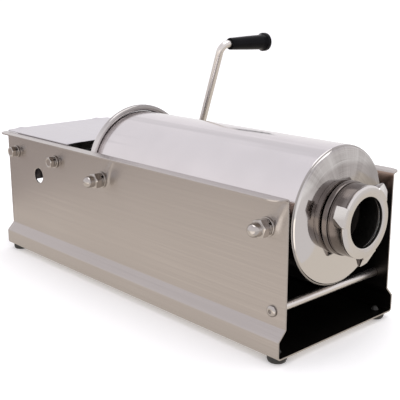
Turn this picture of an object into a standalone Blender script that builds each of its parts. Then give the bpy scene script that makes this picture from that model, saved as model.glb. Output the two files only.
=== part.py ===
"""Hand-cranked horizontal sausage stuffer, built as an assembly of separate solids.

Drawing coordinates are millimetres: x = 0 is the rear end of the channel and +x runs towards
the outlet, y = 0 is the middle plane with the crank on the +y side, and z = 0 is the underside
of the bottom plate. publish() moves them to the part's frame, in metres, whose origin is the
centre of the underside of the bounding box.
"""

import math

import bmesh
import bpy
from mathutils import Vector

MM = 0.001
GAP = 0.3  # clearance between pieces that touch
WELD = 0.002  # corners nearer than this are one corner

# sides of round shapes, from the largest to the smallest
SIDES_LARGE = 56
SIDES_THREAD = 36
SIDES_MEDIUM = 20
SIDES_SMALL = 14

# channel: one bent sheet with a wider foot, upright sides and flanges turned outwards
CHANNEL_LENGTH = 511.0
CHANNEL_HALF_WIDTH = 83.1
CHANNEL_HEIGHT = 158.5
SHEET = 1.5
FOOT_STEP_OUT = 9.6
FOOT_STEP_LOW = 19.0
FOOT_STEP_HIGH = 29.0
FLANGE_OUT = 15.4
FLANGE_CORNER = 14.0
BEND_RADIUS = 3.0
PANEL_INSIDE = CHANNEL_HALF_WIDTH - SHEET

# cover plate over the gears
COVER_SHEET = 1.5
COVER_REAR = -4.0
COVER_FRONT = 149.0
COVER_HALF_WIDTH = 84.0
COVER_UNDERSIDE = CHANNEL_HEIGHT + GAP
SKIRT_HALF_WIDTH = 66.0
SKIRT_BOTTOM = 83.5
RACK_SLOT_HALF_WIDTH = 13.0
RACK_SLOT_LOW = 111.0
RACK_SLOT_HIGH = 141.0

# feet
FOOT_RADIUS = 10.0
FOOT_HEIGHT = 7.0
FOOT_INSET_X = 12.5
FOOT_Y = 80.0
FOOT_STEM_RADIUS = 3.0

# cylinder
CYLINDER_AXIS_Z = 125.3
CYLINDER_RADIUS = 71.5
CYLINDER_WALL = 1.5
CYLINDER_REAR = 181.5
CYLINDER_FRONT = 505.2
BORE_RADIUS = CYLINDER_RADIUS - CYLINDER_WALL
DOME_RISE = 6.0
DISC_HOLE_RADIUS = 32.3
BEAD_TUBE_RADIUS = 3.8
BEAD_X = 185.3

# outlet neck, ring nut and gasket
NECK_BORE = 27.0
NECK_TUBE = 32.0
NECK_COLLAR = 37.5
COLLAR_REAR = 512.3
COLLAR_FRONT = 518.7
THREAD_ROOT = 32.4
THREAD_CREST = 34.0
THREAD_PITCH = 4.0
THREAD_CLEARANCE = 0.4
THREAD_SHIFT = 0.05  # keeps the thread's corners off the flat faces that end it
THREAD_FRONT = 533.0
NUT_REAR = COLLAR_FRONT + GAP
NUT_FRONT = 538.6
NUT_RADIUS = 36.3
NUT_HOLE = 25.4
NUT_LIP = 3.6
EAR_RADIUS = 46.5
EAR_REAR = 528.0
EAR_SWEEP = 5.0
EAR_ANGLES = (37.5, 157.5, 277.5)
EAR_TIP_HALF_ANGLE = 7.0
EAR_STEEP_SIDE = 3.5  # degrees from the tip's corner down to the barrel
EAR_SLOPING_SIDE = 14.0
EAR_REAR_SLOPE = 2.5
EAR_INNER = NUT_RADIUS - 1.0
EAR_ROOT = NUT_RADIUS - 0.5

# fasteners through the side panels
STUD_Z = 126.7
STUD_X = {"front": 485.3, "rear": 218.4}
STUD_RADIUS = 5.0
STUD_BOSS_RADIUS = 9.0
BOLT_Z = 133.0
BOLT_X = {"front": 117.2, "rear": 22.1}
BOLT_RADIUS = 4.0
HOLE_CLEARANCE = 0.4
ACCESS_HOLE_RADIUS = 10.0
SIDES = {"near": -1, "far": 1}

# front tie rod
TIE_X = 493.6
TIE_Z = 44.0
TIE_RADIUS = 4.5
TIE_SCREW_RADIUS = 2.5

# gears
MODULE = 2.0
PRESSURE_ANGLE = math.radians(25.0)
TOOTH_THINNING = 0.3
PINION_TEETH = 12
BULL_TEETH = 44
PINION_X = 75.5
SHAFT_Z = 108.0
CRANK_X = PINION_X + MODULE * (PINION_TEETH + BULL_TEETH) / 2
PITCH_LINE_Z = SHAFT_Z + MODULE * PINION_TEETH / 2
SHAFT_RADIUS = 7.0
SHOULDER_RADIUS = 9.0
PINION_HALF_WIDTH = 10.0
BULL_REAR_Y = 34.0
BULL_FRONT_Y = 44.0
BULL_BORE = SHOULDER_RADIUS + GAP

# gearbox bracket, plate and bushes
GEARBOX_REAR = 12.0
GEARBOX_FRONT = 146.0
BRACKET_SHEET = 3.0
BRACKET_FLANGE_BOTTOM = 121.0
BRACKET_TOP = 149.0
BRACKET_BOTTOM = 62.0
BRACKET_LEG_Y = -30.0
FAR_PLATE = 4.0
FAR_PLATE_Y = PANEL_INSIDE - GAP - FAR_PLATE
BUSH_RADIUS = 9.7
BUSH_FLANGE_RADIUS = 13.0
BUSH_FLANGE = 2.3
BUSH_BORE = SHAFT_RADIUS + GAP

# rack and its guide
RACK_HALF_WIDTH = 8.0
RACK_TOP = 134.0
RACK_TAIL = 26.0
PISTON_FACE = 470.0
PISTON_LENGTH = 22.0
PISTON_RADIUS = 69.0
PISTON_BACK = PISTON_FACE - PISTON_LENGTH
RACK_FRONT = PISTON_BACK - GAP
GUIDE_REAR = 62.0
GUIDE_FRONT = 89.0

# crank, on the +y side
ARM_PLANE_Y = 140.0
ARM_LEAN = math.radians(19.6)
ARM_LENGTH = 176.0
ARM_RADIUS = 5.0
ARM_BEND_RADIUS = 12.0
HUB_RADIUS = 12.0
HUB_INNER_Y = 101.0
HUB_OUTER_Y = 148.0
SQUARE_HALF = 6.0
SQUARE_OUTER_Y = 128.0
SOCKET_END_Y = 131.0
GRIP_INNER_Y = 155.0
GRIP_OUTER_Y = 228.0
GRIP_SCREW_HEAD_Y = 221.0

# nut and washer sizes
ACORN_ACROSS_FLATS = 17.0
ACORN_HEX_HEIGHT = 8.0
ACORN_DOME_RADIUS = 6.8
ACORN_DOME_CENTRE = 13.0
HEAD_ACROSS_FLATS = 13.0
HEAD_HEIGHT = 5.3
FLAT_WASHER = 2.0
SPRING_WASHER = 2.4

# ends of the bounding box, which place the part's origin
NEAR_END = -(CHANNEL_HALF_WIDTH + 3 * GAP + FLAT_WASHER + SPRING_WASHER + ACORN_DOME_CENTRE + ACORN_DOME_RADIUS)
ORIGIN = Vector(((COVER_REAR + NUT_FRONT) / 2, (NEAR_END + GRIP_OUTER_Y) / 2, -FOOT_HEIGHT))

AXES = {"X": (0, 1, 2), "Y": (1, 2, 0), "Z": (2, 0, 1)}


def along(axis, a, u, v):
    """A point from its place along an axis and its two places across it."""
    point = [0.0, 0.0, 0.0]
    order = AXES[axis]
    point[order[0]] = a
    point[order[1]] = u
    point[order[2]] = v
    return point


def lathe(bm, outline, axis, centre, segments, closed=False, phase=0.0):
    """Turn an outline of (place along the axis, radius) points around an axis through centre."""
    middle = Vector(centre)
    rings = []
    for a, radius in outline:
        if radius == 0:
            rings.append([bm.verts.new(middle + Vector(along(axis, a, 0, 0)))])
            continue
        ring = []
        for k in range(segments):
            angle = 2 * math.pi * k / segments + phase
            offset = along(axis, a, radius * math.cos(angle), radius * math.sin(angle))
            ring.append(bm.verts.new(middle + Vector(offset)))
        rings.append(ring)
    pairs = list(zip(rings, rings[1:]))
    if closed:
        pairs.append((rings[-1], rings[0]))
    for first, second in pairs:
        for k in range(segments):
            n = (k + 1) % segments
            if len(first) == 1:
                bm.faces.new((first[0], second[k], second[n]))
            elif len(second) == 1:
                bm.faces.new((first[k], first[n], second[0]))
            else:
                bm.faces.new((first[k], first[n], second[n], second[k]))


def prism(bm, outline, axis, start, end):
    """Extrude an outline of (u, v) points along an axis."""
    low = [bm.verts.new(along(axis, start, u, v)) for u, v in outline]
    high = [bm.verts.new(along(axis, end, u, v)) for u, v in outline]
    bm.faces.new(low)
    bm.faces.new(high)
    for k in range(len(outline)):
        n = (k + 1) % len(outline)
        bm.faces.new((low[k], low[n], high[n], high[k]))


def block(bm, low, high):
    """A box from its low corner to its high corner."""
    outline = [(low[0], low[1]), (high[0], low[1]), (high[0], high[1]), (low[0], high[1])]
    prism(bm, outline, "Z", low[2], high[2])


def rod(bm, axis, centre, start, end, radius, segments=SIDES_SMALL, phase=0.0):
    """A plain round bar between two places on an axis."""
    lathe(bm, [(start, 0), (start, radius), (end, radius), (end, 0)], axis, centre, segments, phase=phase)


def solid(name, build):
    """A new object in drawing coordinates, with its mesh made by build(bm)."""
    bm = bmesh.new()
    build(bm)
    bmesh.ops.recalc_face_normals(bm, faces=bm.faces[:])
    mesh = bpy.data.meshes.new(name)
    bm.to_mesh(mesh)
    bm.free()
    item = bpy.data.objects.new(name, mesh)
    bpy.context.scene.collection.objects.link(item)
    return item


def combine(target, tool, operation):
    """Apply one exact Boolean to target, weld its seams and remove the tool."""
    modifier = target.modifiers.new(operation.lower(), "BOOLEAN")
    modifier.operation = operation
    modifier.solver = "EXACT"
    modifier.object = tool
    bpy.context.view_layer.update()
    done = target.evaluated_get(bpy.context.evaluated_depsgraph_get())
    mesh = bpy.data.meshes.new_from_object(done)
    bm = bmesh.new()
    bm.from_mesh(mesh)
    bmesh.ops.remove_doubles(bm, verts=bm.verts[:], dist=WELD)
    bmesh.ops.dissolve_degenerate(bm, edges=bm.edges[:], dist=WELD)
    bm.to_mesh(mesh)
    bm.free()
    old = target.data
    target.modifiers.clear()
    target.data = mesh
    bpy.data.meshes.remove(old)
    bpy.data.objects.remove(tool)


def cut(target, build):
    combine(target, solid("cutter", build), "DIFFERENCE")


def join(target, build):
    combine(target, solid("addition", build), "UNION")


def publish(item, material, pivot=None, bevel=0.0, sharp=40.0):
    """Move a finished solid into the part's frame and give it its material, bevel and shading."""
    pivot = Vector(pivot) if pivot else Vector(ORIGIN)
    for vertex in item.data.vertices:
        vertex.co = (vertex.co - pivot) * MM
    item.location = (pivot - ORIGIN) * MM
    item.data.materials.clear()
    item.data.materials.append(material)
    item.data.shade_smooth()
    item.data.set_sharp_from_angle(angle=math.radians(sharp))
    if bevel:
        modifier = item.modifiers.new("edge", "BEVEL")
        modifier.width = bevel * MM
        modifier.segments = 1
        modifier.limit_method = "ANGLE"
        modifier.angle_limit = math.radians(sharp)
    return item


def arc(centre, radius, start, end, steps):
    """Points on an arc in the outline plane, angles in degrees."""
    points = []
    for k in range(steps + 1):
        angle = math.radians(start + (end - start) * k / steps)
        points.append((centre[0] + radius * math.cos(angle), centre[1] + radius * math.sin(angle)))
    return points


def make_materials():
    """One Principled material for each kind of surface."""
    looks = {
        "brushed_steel": ((0.52, 0.50, 0.48), 0.35, 1.0),
        "polished_steel": ((0.66, 0.64, 0.63), 0.12, 1.0),
        "cover_steel": ((0.60, 0.59, 0.60), 0.30, 1.0),
        "fastener_steel": ((0.62, 0.60, 0.57), 0.22, 1.0),
        "machined_steel": ((0.45, 0.45, 0.46), 0.40, 1.0),
        "bush_bronze": ((0.55, 0.38, 0.20), 0.35, 1.0),
        "grip_plastic": ((0.015, 0.015, 0.017), 0.18, 0.0),
        "foot_rubber": ((0.02, 0.02, 0.02), 0.75, 0.0),
        "seal_silicone": ((0.75, 0.74, 0.70), 0.55, 0.0),
    }
    made = {}
    for name, (colour, roughness, metallic) in looks.items():
        material = bpy.data.materials.new(name)
        material.use_nodes = True
        shader = material.node_tree.nodes["Principled BSDF"]
        shader.inputs["Base Color"].default_value = (*colour, 1.0)
        shader.inputs["Roughness"].default_value = roughness
        shader.inputs["Metallic"].default_value = metallic
        made[name] = material
    return made


# ---- channel, cover and feet ----


def channel_half_outline():
    """The sheet's outer line on the +y side, from the middle of the floor to the flange's edge."""
    wide = CHANNEL_HALF_WIDTH + FOOT_STEP_OUT
    top = CHANNEL_HEIGHT
    outer = [(0.0, 0.0)]
    outer += arc((wide - BEND_RADIUS, BEND_RADIUS), BEND_RADIUS, -90, 0, 3)
    outer += [(wide, FOOT_STEP_LOW), (CHANNEL_HALF_WIDTH, FOOT_STEP_HIGH)]
    outer += arc((CHANNEL_HALF_WIDTH + BEND_RADIUS, top - SHEET - BEND_RADIUS), BEND_RADIUS, 180, 90, 3)
    outer += [(CHANNEL_HALF_WIDTH + FLANGE_OUT, top - SHEET)]
    inner = [(CHANNEL_HALF_WIDTH + FLANGE_OUT, top)]
    inner += arc((CHANNEL_HALF_WIDTH + BEND_RADIUS, top - SHEET - BEND_RADIUS), BEND_RADIUS + SHEET, 90, 180, 3)
    inner += [(PANEL_INSIDE, FOOT_STEP_HIGH - 0.7), (wide - SHEET, FOOT_STEP_LOW - 0.7)]
    inner += arc((wide - BEND_RADIUS, BEND_RADIUS), BEND_RADIUS - SHEET, 0, -90, 3)
    inner += [(0.0, SHEET)]
    return outer, inner


def corner_cutter(bm, x_end, toward, side):
    """Rounds one corner of a top flange, seen from above."""
    edge = CHANNEL_HALF_WIDTH + FLANGE_OUT
    centre = (x_end - toward * FLANGE_CORNER, edge - FLANGE_CORNER)
    points = [(x_end + toward, edge - FLANGE_CORNER), (x_end + toward, edge + 1), (centre[0], edge + 1)]
    points += [(centre[0] + toward * u, centre[1] + v) for u, v in arc((0, 0), FLANGE_CORNER, 90, 0, 6)]
    prism(bm, [(u, side * v) for u, v in points], "Z", CHANNEL_HEIGHT - 6, CHANNEL_HEIGHT + 4)


def make_channel():
    outer, inner = channel_half_outline()
    right = outer[1:]
    right_inner = inner[:-1]
    outline = right + right_inner + [(-y, z) for y, z in reversed(right_inner)] + [(-y, z) for y, z in reversed(right)]
    item = solid("body_channel", lambda bm: prism(bm, outline, "X", 0.0, CHANNEL_LENGTH))
    for side in SIDES.values():
        cut(item, lambda bm: corner_cutter(bm, CHANNEL_LENGTH, 1, side))
        cut(item, lambda bm: corner_cutter(bm, 0.0, -1, side))

    def holes(bm):
        for side in SIDES.values():
            start, end = sorted((side * (PANEL_INSIDE - 5), side * (CHANNEL_HALF_WIDTH + 5)))
            for x in BOLT_X.values():
                rod(bm, "Y", (x, 0, BOLT_Z), start, end, BOLT_RADIUS + HOLE_CLEARANCE)
            for x in STUD_X.values():
                rod(bm, "Y", (x, 0, STUD_Z), start, end, STUD_RADIUS + HOLE_CLEARANCE)
            rod(bm, "Y", (TIE_X, 0, TIE_Z), start, end, TIE_SCREW_RADIUS + HOLE_CLEARANCE)
            rod(bm, "Y", (PINION_X, 0, SHAFT_Z), start, end, ACCESS_HOLE_RADIUS, SIDES_MEDIUM)
        rod(bm, "Y", (CRANK_X, 0, SHAFT_Z), PANEL_INSIDE - 5, CHANNEL_HALF_WIDTH + 5, ACCESS_HOLE_RADIUS, SIDES_MEDIUM)
        for x, y in foot_places().values():
            rod(bm, "Z", (x, y, 0), -3, SHEET + 3, FOOT_STEM_RADIUS + HOLE_CLEARANCE)

    cut(item, holes)
    return item


def make_cover():
    """Flat top with a skirt bent down behind the channel, slotted for the rack."""
    top = COVER_UNDERSIDE + COVER_SHEET

    def plate(bm):
        block(bm, (0.0, -COVER_HALF_WIDTH, COVER_UNDERSIDE), (COVER_FRONT, COVER_HALF_WIDTH, top))

    item = solid("cover_plate", plate)
    bend = BEND_RADIUS
    outline = [(6.0, top)]
    outline += [(x, z) for x, z in arc((COVER_REAR + bend, top - bend), bend, 90, 180, 4)]
    outline += [(COVER_REAR, SKIRT_BOTTOM), (COVER_REAR + COVER_SHEET, SKIRT_BOTTOM)]
    outline += [(x, z) for x, z in arc((COVER_REAR + bend, top - bend), bend - COVER_SHEET, 180, 90, 4)]
    outline += [(6.0, COVER_UNDERSIDE)]
    swapped = [(z, x) for x, z in outline]
    join(item, lambda bm: prism(bm, swapped, "Y", -SKIRT_HALF_WIDTH, SKIRT_HALF_WIDTH))
    low = (COVER_REAR - 2, -RACK_SLOT_HALF_WIDTH, RACK_SLOT_LOW)
    high = (COVER_REAR + 6, RACK_SLOT_HALF_WIDTH, RACK_SLOT_HIGH)
    cut(item, lambda bm: block(bm, low, high))
    return item


def foot_places():
    places = {}
    for side_name, side in SIDES.items():
        places[f"{side_name}_rear"] = (FOOT_INSET_X, side * FOOT_Y)
        places[f"{side_name}_front"] = (CHANNEL_LENGTH - FOOT_INSET_X, side * FOOT_Y)
    return places


def make_foot(name, x, y):
    """Round rubber foot with a stem and barb that hold it in the floor."""
    outline = [
        (-FOOT_HEIGHT, 0), (-FOOT_HEIGHT, FOOT_RADIUS - 2.5), (-FOOT_HEIGHT + 1.8, FOOT_RADIUS - 0.6),
        (-FOOT_HEIGHT + 4.0, FOOT_RADIUS), (-GAP, FOOT_RADIUS), (-GAP, FOOT_STEM_RADIUS),
        (SHEET + GAP, FOOT_STEM_RADIUS), (SHEET + GAP, FOOT_STEM_RADIUS + 1.4), (SHEET + 4, FOOT_STEM_RADIUS - 1),
        (SHEET + 4, 0),
    ]
    return solid(f"foot_{name}", lambda bm: lathe(bm, outline, "Z", (x, y, 0), SIDES_SMALL))


# ---- cylinder, outlet and piston ----


def make_barrel():
    """Open-backed tube whose end has a rounded shoulder and a nearly flat face with a hole for the neck."""
    back = CYLINDER_REAR
    front = CYLINDER_FRONT
    crown = front + DOME_RISE
    outline = [
        (back, CYLINDER_RADIUS), (front - 1.5, CYLINDER_RADIUS), (front - 0.4, CYLINDER_RADIUS - 0.4),
        (front, CYLINDER_RADIUS - 1.5), (front + 2.6, 68.3), (front + 4.5, 65.0), (crown - 0.6, 54.0),
        (crown, 40.0), (crown, DISC_HOLE_RADIUS), (crown - CYLINDER_WALL, DISC_HOLE_RADIUS),
        (crown - CYLINDER_WALL, 40.0), (crown - 0.6 - CYLINDER_WALL, 53.8), (front + 3.1, 64.4),
        (front + 1.6, 67.1), (front - 0.8, BORE_RADIUS - 1.2), (front - 2.5, BORE_RADIUS), (back, BORE_RADIUS),
    ]
    centre = (0, 0, CYLINDER_AXIS_Z)
    return solid("cylinder_barrel", lambda bm: lathe(bm, outline, "X", centre, SIDES_LARGE, closed=True))


def make_bead():
    """Round bead around the open end of the barrel."""
    ring_radius = CYLINDER_RADIUS + GAP + BEAD_TUBE_RADIUS
    outline = [(BEAD_X + a, ring_radius + r) for a, r in arc((0, 0), BEAD_TUBE_RADIUS, 0, 315, 7)]
    centre = (0, 0, CYLINDER_AXIS_Z)
    return solid("cylinder_bead", lambda bm: lathe(bm, outline, "X", centre, SIDES_LARGE, closed=True))


def threaded_bar(bm, start, end, growth):
    """A closed bar with a right-hand thread along x, a little longer than asked at both ends."""
    columns = SIDES_THREAD
    steps = ((0.0, THREAD_ROOT), (0.3, THREAD_ROOT), (0.5, THREAD_CREST), (0.8, THREAD_CREST))
    turns = math.ceil((end - start) / THREAD_PITCH) + 3
    per_turn = len(steps)
    first = start - 2 * THREAD_PITCH + THREAD_SHIFT
    grid = []
    for row in range(turns * per_turn + 1):
        turn, step = divmod(row, per_turn)
        share, radius = steps[step]
        line = []
        for column in range(columns):
            angle = 2 * math.pi * column / columns
            x = first + THREAD_PITCH * (turn + share + column / columns)
            y = (radius + growth) * math.cos(angle)
            z = (radius + growth) * math.sin(angle) + CYLINDER_AXIS_Z
            line.append(bm.verts.new((x, y, z)))
        grid.append(line)
    for row in range(len(grid) - 1):
        for column in range(columns - 1):
            bm.faces.new((grid[row][column], grid[row][column + 1], grid[row + 1][column + 1], grid[row + 1][column]))
        if row + 1 + per_turn < len(grid):
            bm.faces.new((grid[row][-1], grid[row + per_turn][0], grid[row + per_turn + 1][0], grid[row + 1][-1]))
    top = len(grid) - 1
    low_loop = grid[0] + [grid[row][0] for row in range(per_turn, 0, -1)]
    high_loop = grid[top] + [grid[row][-1] for row in range(top - 1, top - per_turn - 1, -1)]
    for loop in (low_loop, high_loop):
        middle = bm.verts.new((sum(v.co.x for v in loop) / len(loop), 0, CYLINDER_AXIS_Z))
        for k in range(len(loop)):
            bm.faces.new((loop[k], loop[(k + 1) % len(loop)], middle))


def make_neck():
    """Outlet tube with a collar against the cylinder's end and a thread for the ring nut."""
    rear = CYLINDER_FRONT + DOME_RISE - CYLINDER_WALL
    outline = [
        (rear, NECK_BORE), (rear, NECK_TUBE), (COLLAR_REAR, NECK_TUBE), (COLLAR_REAR, NECK_COLLAR - 0.5),
        (COLLAR_REAR + 0.5, NECK_COLLAR), (COLLAR_FRONT - 0.5, NECK_COLLAR), (COLLAR_FRONT, NECK_COLLAR - 0.5),
        (COLLAR_FRONT, THREAD_CREST + 0.2), (THREAD_FRONT, THREAD_CREST + 0.2), (THREAD_FRONT, NECK_BORE),
    ]
    centre = (0, 0, CYLINDER_AXIS_Z)
    item = solid("outlet_neck", lambda bm: lathe(bm, outline, "X", centre, SIDES_THREAD, closed=True))
    shell = [(NUT_REAR, 30.0), (NUT_REAR, 42.0), (THREAD_FRONT + 2, 42.0), (THREAD_FRONT + 2, 30.0)]
    cutter = solid("thread_cutter", lambda bm: lathe(bm, shell, "X", centre, SIDES_THREAD, closed=True))
    cut(cutter, lambda bm: threaded_bar(bm, NUT_REAR, THREAD_FRONT, 0.0))
    combine(item, cutter, "DIFFERENCE")
    return item


def ear(bm, middle):
    """One swept-back lug of the ring nut, steep on one side, with its tip centred on an angle in degrees."""
    stations = []
    rise = EAR_RADIUS - EAR_ROOT
    tip = EAR_TIP_HALF_ANGLE
    for offset in (-10.5, -8.7, -7.0, -2.5, 2.5, 7.0, 10.0, 13.5, 17.0, 21.0):
        past_tip = max(0.0, (-tip - offset) / EAR_STEEP_SIDE, (offset - tip) / EAR_SLOPING_SIDE)
        share = 1 - past_tip ** 0.85
        outer = EAR_ROOT + rise * share
        angle = math.radians(middle + offset)
        sweep = EAR_SWEEP * share
        rear = EAR_REAR + EAR_REAR_SLOPE * share
        station = []
        front = NUT_FRONT - 0.9
        corners = ((EAR_INNER, EAR_REAR), (outer, rear), (outer, front - sweep), (EAR_INNER, front))
        for radius, x in corners:
            y = radius * math.cos(angle)
            z = radius * math.sin(angle) + CYLINDER_AXIS_Z
            station.append(bm.verts.new((x, y, z)))
        stations.append(station)
    for first, second in zip(stations, stations[1:]):
        for k in range(4):
            n = (k + 1) % 4
            bm.faces.new((first[k], first[n], second[n], second[k]))
    bm.faces.new(stations[0])
    bm.faces.new(stations[-1])


def make_nozzle_nut():
    """Three-eared ring nut with an internal thread and a lip that holds a stuffing tube."""
    centre = (0, 0, CYLINDER_AXIS_Z)
    lip = NUT_FRONT - NUT_LIP
    bore = THREAD_ROOT - 1.4
    seat = THREAD_ROOT - 0.2
    outline = [
        (NUT_REAR, bore), (NUT_REAR, NUT_RADIUS - 0.6), (NUT_REAR + 0.6, NUT_RADIUS),
        (NUT_FRONT - 0.8, NUT_RADIUS), (NUT_FRONT, NUT_RADIUS - 0.8), (NUT_FRONT, NUT_HOLE + 0.4),
        (NUT_FRONT - 0.4, NUT_HOLE), (lip, NUT_HOLE), (lip, seat), (THREAD_FRONT, seat), (THREAD_FRONT, bore),
    ]
    item = solid("nozzle_nut", lambda bm: lathe(bm, outline, "X", centre, SIDES_THREAD, closed=True))
    rod_end = [(NUT_REAR - 3, 0), (NUT_REAR - 3, 40), (THREAD_FRONT + 0.4, 40), (THREAD_FRONT + 0.4, 0)]
    cutter = solid("tap", lambda bm: threaded_bar(bm, NUT_REAR, THREAD_FRONT, THREAD_CLEARANCE))
    limit = solid("limit", lambda bm: lathe(bm, rod_end, "X", centre, SIDES_SMALL, phase=0.1))
    combine(cutter, limit, "INTERSECT")
    combine(item, cutter, "DIFFERENCE")
    for angle in EAR_ANGLES:
        join(item, lambda bm: ear(bm, angle))
    return item


def make_gasket():
    """Flat ring that seals a stuffing tube's flange against the neck."""
    front = NUT_FRONT - NUT_LIP - GAP
    back = THREAD_FRONT + GAP
    outline = [(back, NECK_BORE + 0.4), (back, THREAD_ROOT - 0.8), (front, THREAD_ROOT - 0.8), (front, NECK_BORE + 0.4)]
    centre = (0, 0, CYLINDER_AXIS_Z)
    return solid("nozzle_gasket", lambda bm: lathe(bm, outline, "X", centre, SIDES_THREAD, closed=True))


def make_piston():
    """Solid piston with a seal groove and a stepped hole for its screw."""
    groove_back = PISTON_BACK + 7
    groove_front = PISTON_BACK + 15
    outline = [
        (PISTON_BACK, 4.4), (PISTON_BACK, PISTON_RADIUS - 1), (PISTON_BACK + 1, PISTON_RADIUS),
        (groove_back, PISTON_RADIUS), (groove_back, 64.0), (groove_front, 64.0), (groove_front, PISTON_RADIUS),
        (PISTON_FACE - 1.5, PISTON_RADIUS), (PISTON_FACE, PISTON_RADIUS - 1.5), (PISTON_FACE, 9.4),
        (PISTON_FACE - 7, 9.4), (PISTON_FACE - 7, 4.4),
    ]
    centre = (0, 0, CYLINDER_AXIS_Z)
    return solid("piston", lambda bm: lathe(bm, outline, "X", centre, SIDES_LARGE, closed=True))


def make_piston_seal():
    back = PISTON_BACK + 7 + GAP
    front = PISTON_BACK + 15 - GAP
    lip = BORE_RADIUS - GAP
    outline = [(back, 64.0 + GAP), (back, lip - 1.2), (back + 1.6, lip), (front - 1.6, lip), (front, lip - 1.2), (front, 64.0 + GAP)]
    centre = (0, 0, CYLINDER_AXIS_Z)
    return solid("piston_seal", lambda bm: lathe(bm, outline, "X", centre, SIDES_LARGE, closed=True))


def make_piston_screw():
    """Flat-headed screw that holds the piston on the rack."""
    seat = PISTON_FACE - 7 + GAP
    outline = [
        (RACK_FRONT - 24, 0), (RACK_FRONT - 24, 3.4), (RACK_FRONT - 23, 4.0), (seat, 4.0), (seat, 9.0),
        (PISTON_FACE - 1.2, 9.0), (PISTON_FACE - 0.4, 8.2), (PISTON_FACE - 0.4, 0),
    ]
    item = solid("piston_screw", lambda bm: lathe(bm, outline, "X", (0, 0, CYLINDER_AXIS_Z), SIDES_SMALL))
    hexagon = [(u, v + CYLINDER_AXIS_Z) for u, v in arc((0, 0), 4.0, 0, 300, 5)]
    cut(item, lambda bm: prism(bm, hexagon, "X", PISTON_FACE - 4.5, PISTON_FACE + 1))
    return item


# ---- rack, gears and gearbox ----


def involute(angle):
    return math.tan(angle) - angle


def gear_outline(teeth, first_tooth):
    """Outline of a spur gear as (u, v) points, with one tooth centred on first_tooth in radians."""
    pitch_radius = MODULE * teeth / 2
    base = pitch_radius * math.cos(PRESSURE_ANGLE)
    tip = pitch_radius + MODULE
    root = pitch_radius - 1.25 * MODULE
    half = (math.pi * MODULE / 2 - TOOTH_THINNING) / 2 / pitch_radius
    steps = 2 if teeth > 30 else 3
    lowest = max(base, root)
    flank = [(root, None)] if root < base else []
    flank += [(lowest + (tip - lowest) * k / steps, k) for k in range(steps + 1)]
    points = []
    for tooth in range(teeth):
        middle = first_tooth + 2 * math.pi * tooth / teeth
        side = []
        for radius, _ in flank:
            working = math.acos(min(1.0, base / max(radius, base)))
            side.append((radius, half + involute(PRESSURE_ANGLE) - involute(working)))
        for radius, offset in side:
            points.append((radius * math.cos(middle - offset), radius * math.sin(middle - offset)))
        for radius, offset in reversed(side):
            points.append((radius * math.cos(middle + offset), radius * math.sin(middle + offset)))
    return points


def place_gear(outline, x):
    """Turn a gear outline into the (z, x) outline of a prism along y."""
    return [(v + SHAFT_Z, u + x) for u, v in outline]


def shaft_outline(start, end, shoulder_start, shoulder_end):
    """Round shaft with a thicker middle between its two bearings."""
    return [
        (start, 0), (start, SHAFT_RADIUS - 0.7), (start + 0.7, SHAFT_RADIUS), (shoulder_start, SHAFT_RADIUS),
        (shoulder_start, SHOULDER_RADIUS), (shoulder_end, SHOULDER_RADIUS), (shoulder_end, SHAFT_RADIUS),
        (end, SHAFT_RADIUS), (end, 0),
    ]


NEAR_SHOULDER = BRACKET_LEG_Y + BRACKET_SHEET + 2 * GAP + BUSH_FLANGE
FAR_SHOULDER = FAR_PLATE_Y - 2 * GAP - BUSH_FLANGE
SHAFT_NEAR_END = BRACKET_LEG_Y - 4
SQUARE_INNER_Y = CHANNEL_HALF_WIDTH + 3


def square_end(bm, x, outer):
    """Square drive end of a shaft."""
    side = SQUARE_HALF
    tip = side - 0.8
    low = [(-side, -side), (side, -side), (side, side), (-side, side)]
    layers = []
    stations = (
        (SQUARE_INNER_Y - 6, 0.7), (SQUARE_INNER_Y - 1, 0.7), (SQUARE_INNER_Y, 1.0), (outer - 1, 1.0), (outer, tip / side),
    )
    for y, scale in stations:
        layers.append([bm.verts.new((x + u * scale, y, SHAFT_Z + v * scale)) for u, v in low])
    for first, second in zip(layers, layers[1:]):
        for k in range(4):
            n = (k + 1) % 4
            bm.faces.new((first[k], first[n], second[n], second[k]))
    bm.faces.new(layers[0])
    bm.faces.new(layers[-1])


def make_pinion_shaft():
    """Shaft with the pinion that drives the rack, and a square end for the fast crank position."""
    outline = shaft_outline(SHAFT_NEAR_END, SQUARE_INNER_Y, NEAR_SHOULDER, FAR_SHOULDER)
    item = solid("pinion_shaft", lambda bm: lathe(bm, outline, "Y", (PINION_X, 0, SHAFT_Z), SIDES_MEDIUM))
    teeth = place_gear(gear_outline(PINION_TEETH, math.pi / 2), PINION_X)
    join(item, lambda bm: prism(bm, teeth, "Y", -PINION_HALF_WIDTH, PINION_HALF_WIDTH))
    join(item, lambda bm: square_end(bm, PINION_X, SQUARE_INNER_Y + 10))
    return item


def make_crank_shaft():
    """Input shaft with the small gear, and the square end that carries the crank."""
    outline = shaft_outline(SHAFT_NEAR_END, SQUARE_INNER_Y, NEAR_SHOULDER, FAR_SHOULDER)
    item = solid("crank_shaft", lambda bm: lathe(bm, outline, "Y", (CRANK_X, 0, SHAFT_Z), SIDES_MEDIUM))
    teeth = place_gear(gear_outline(PINION_TEETH, math.pi / PINION_TEETH), CRANK_X)
    join(item, lambda bm: prism(bm, teeth, "Y", BULL_REAR_Y - 1, BULL_FRONT_Y + 1))
    join(item, lambda bm: square_end(bm, CRANK_X, SQUARE_OUTER_Y))
    return item


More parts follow.
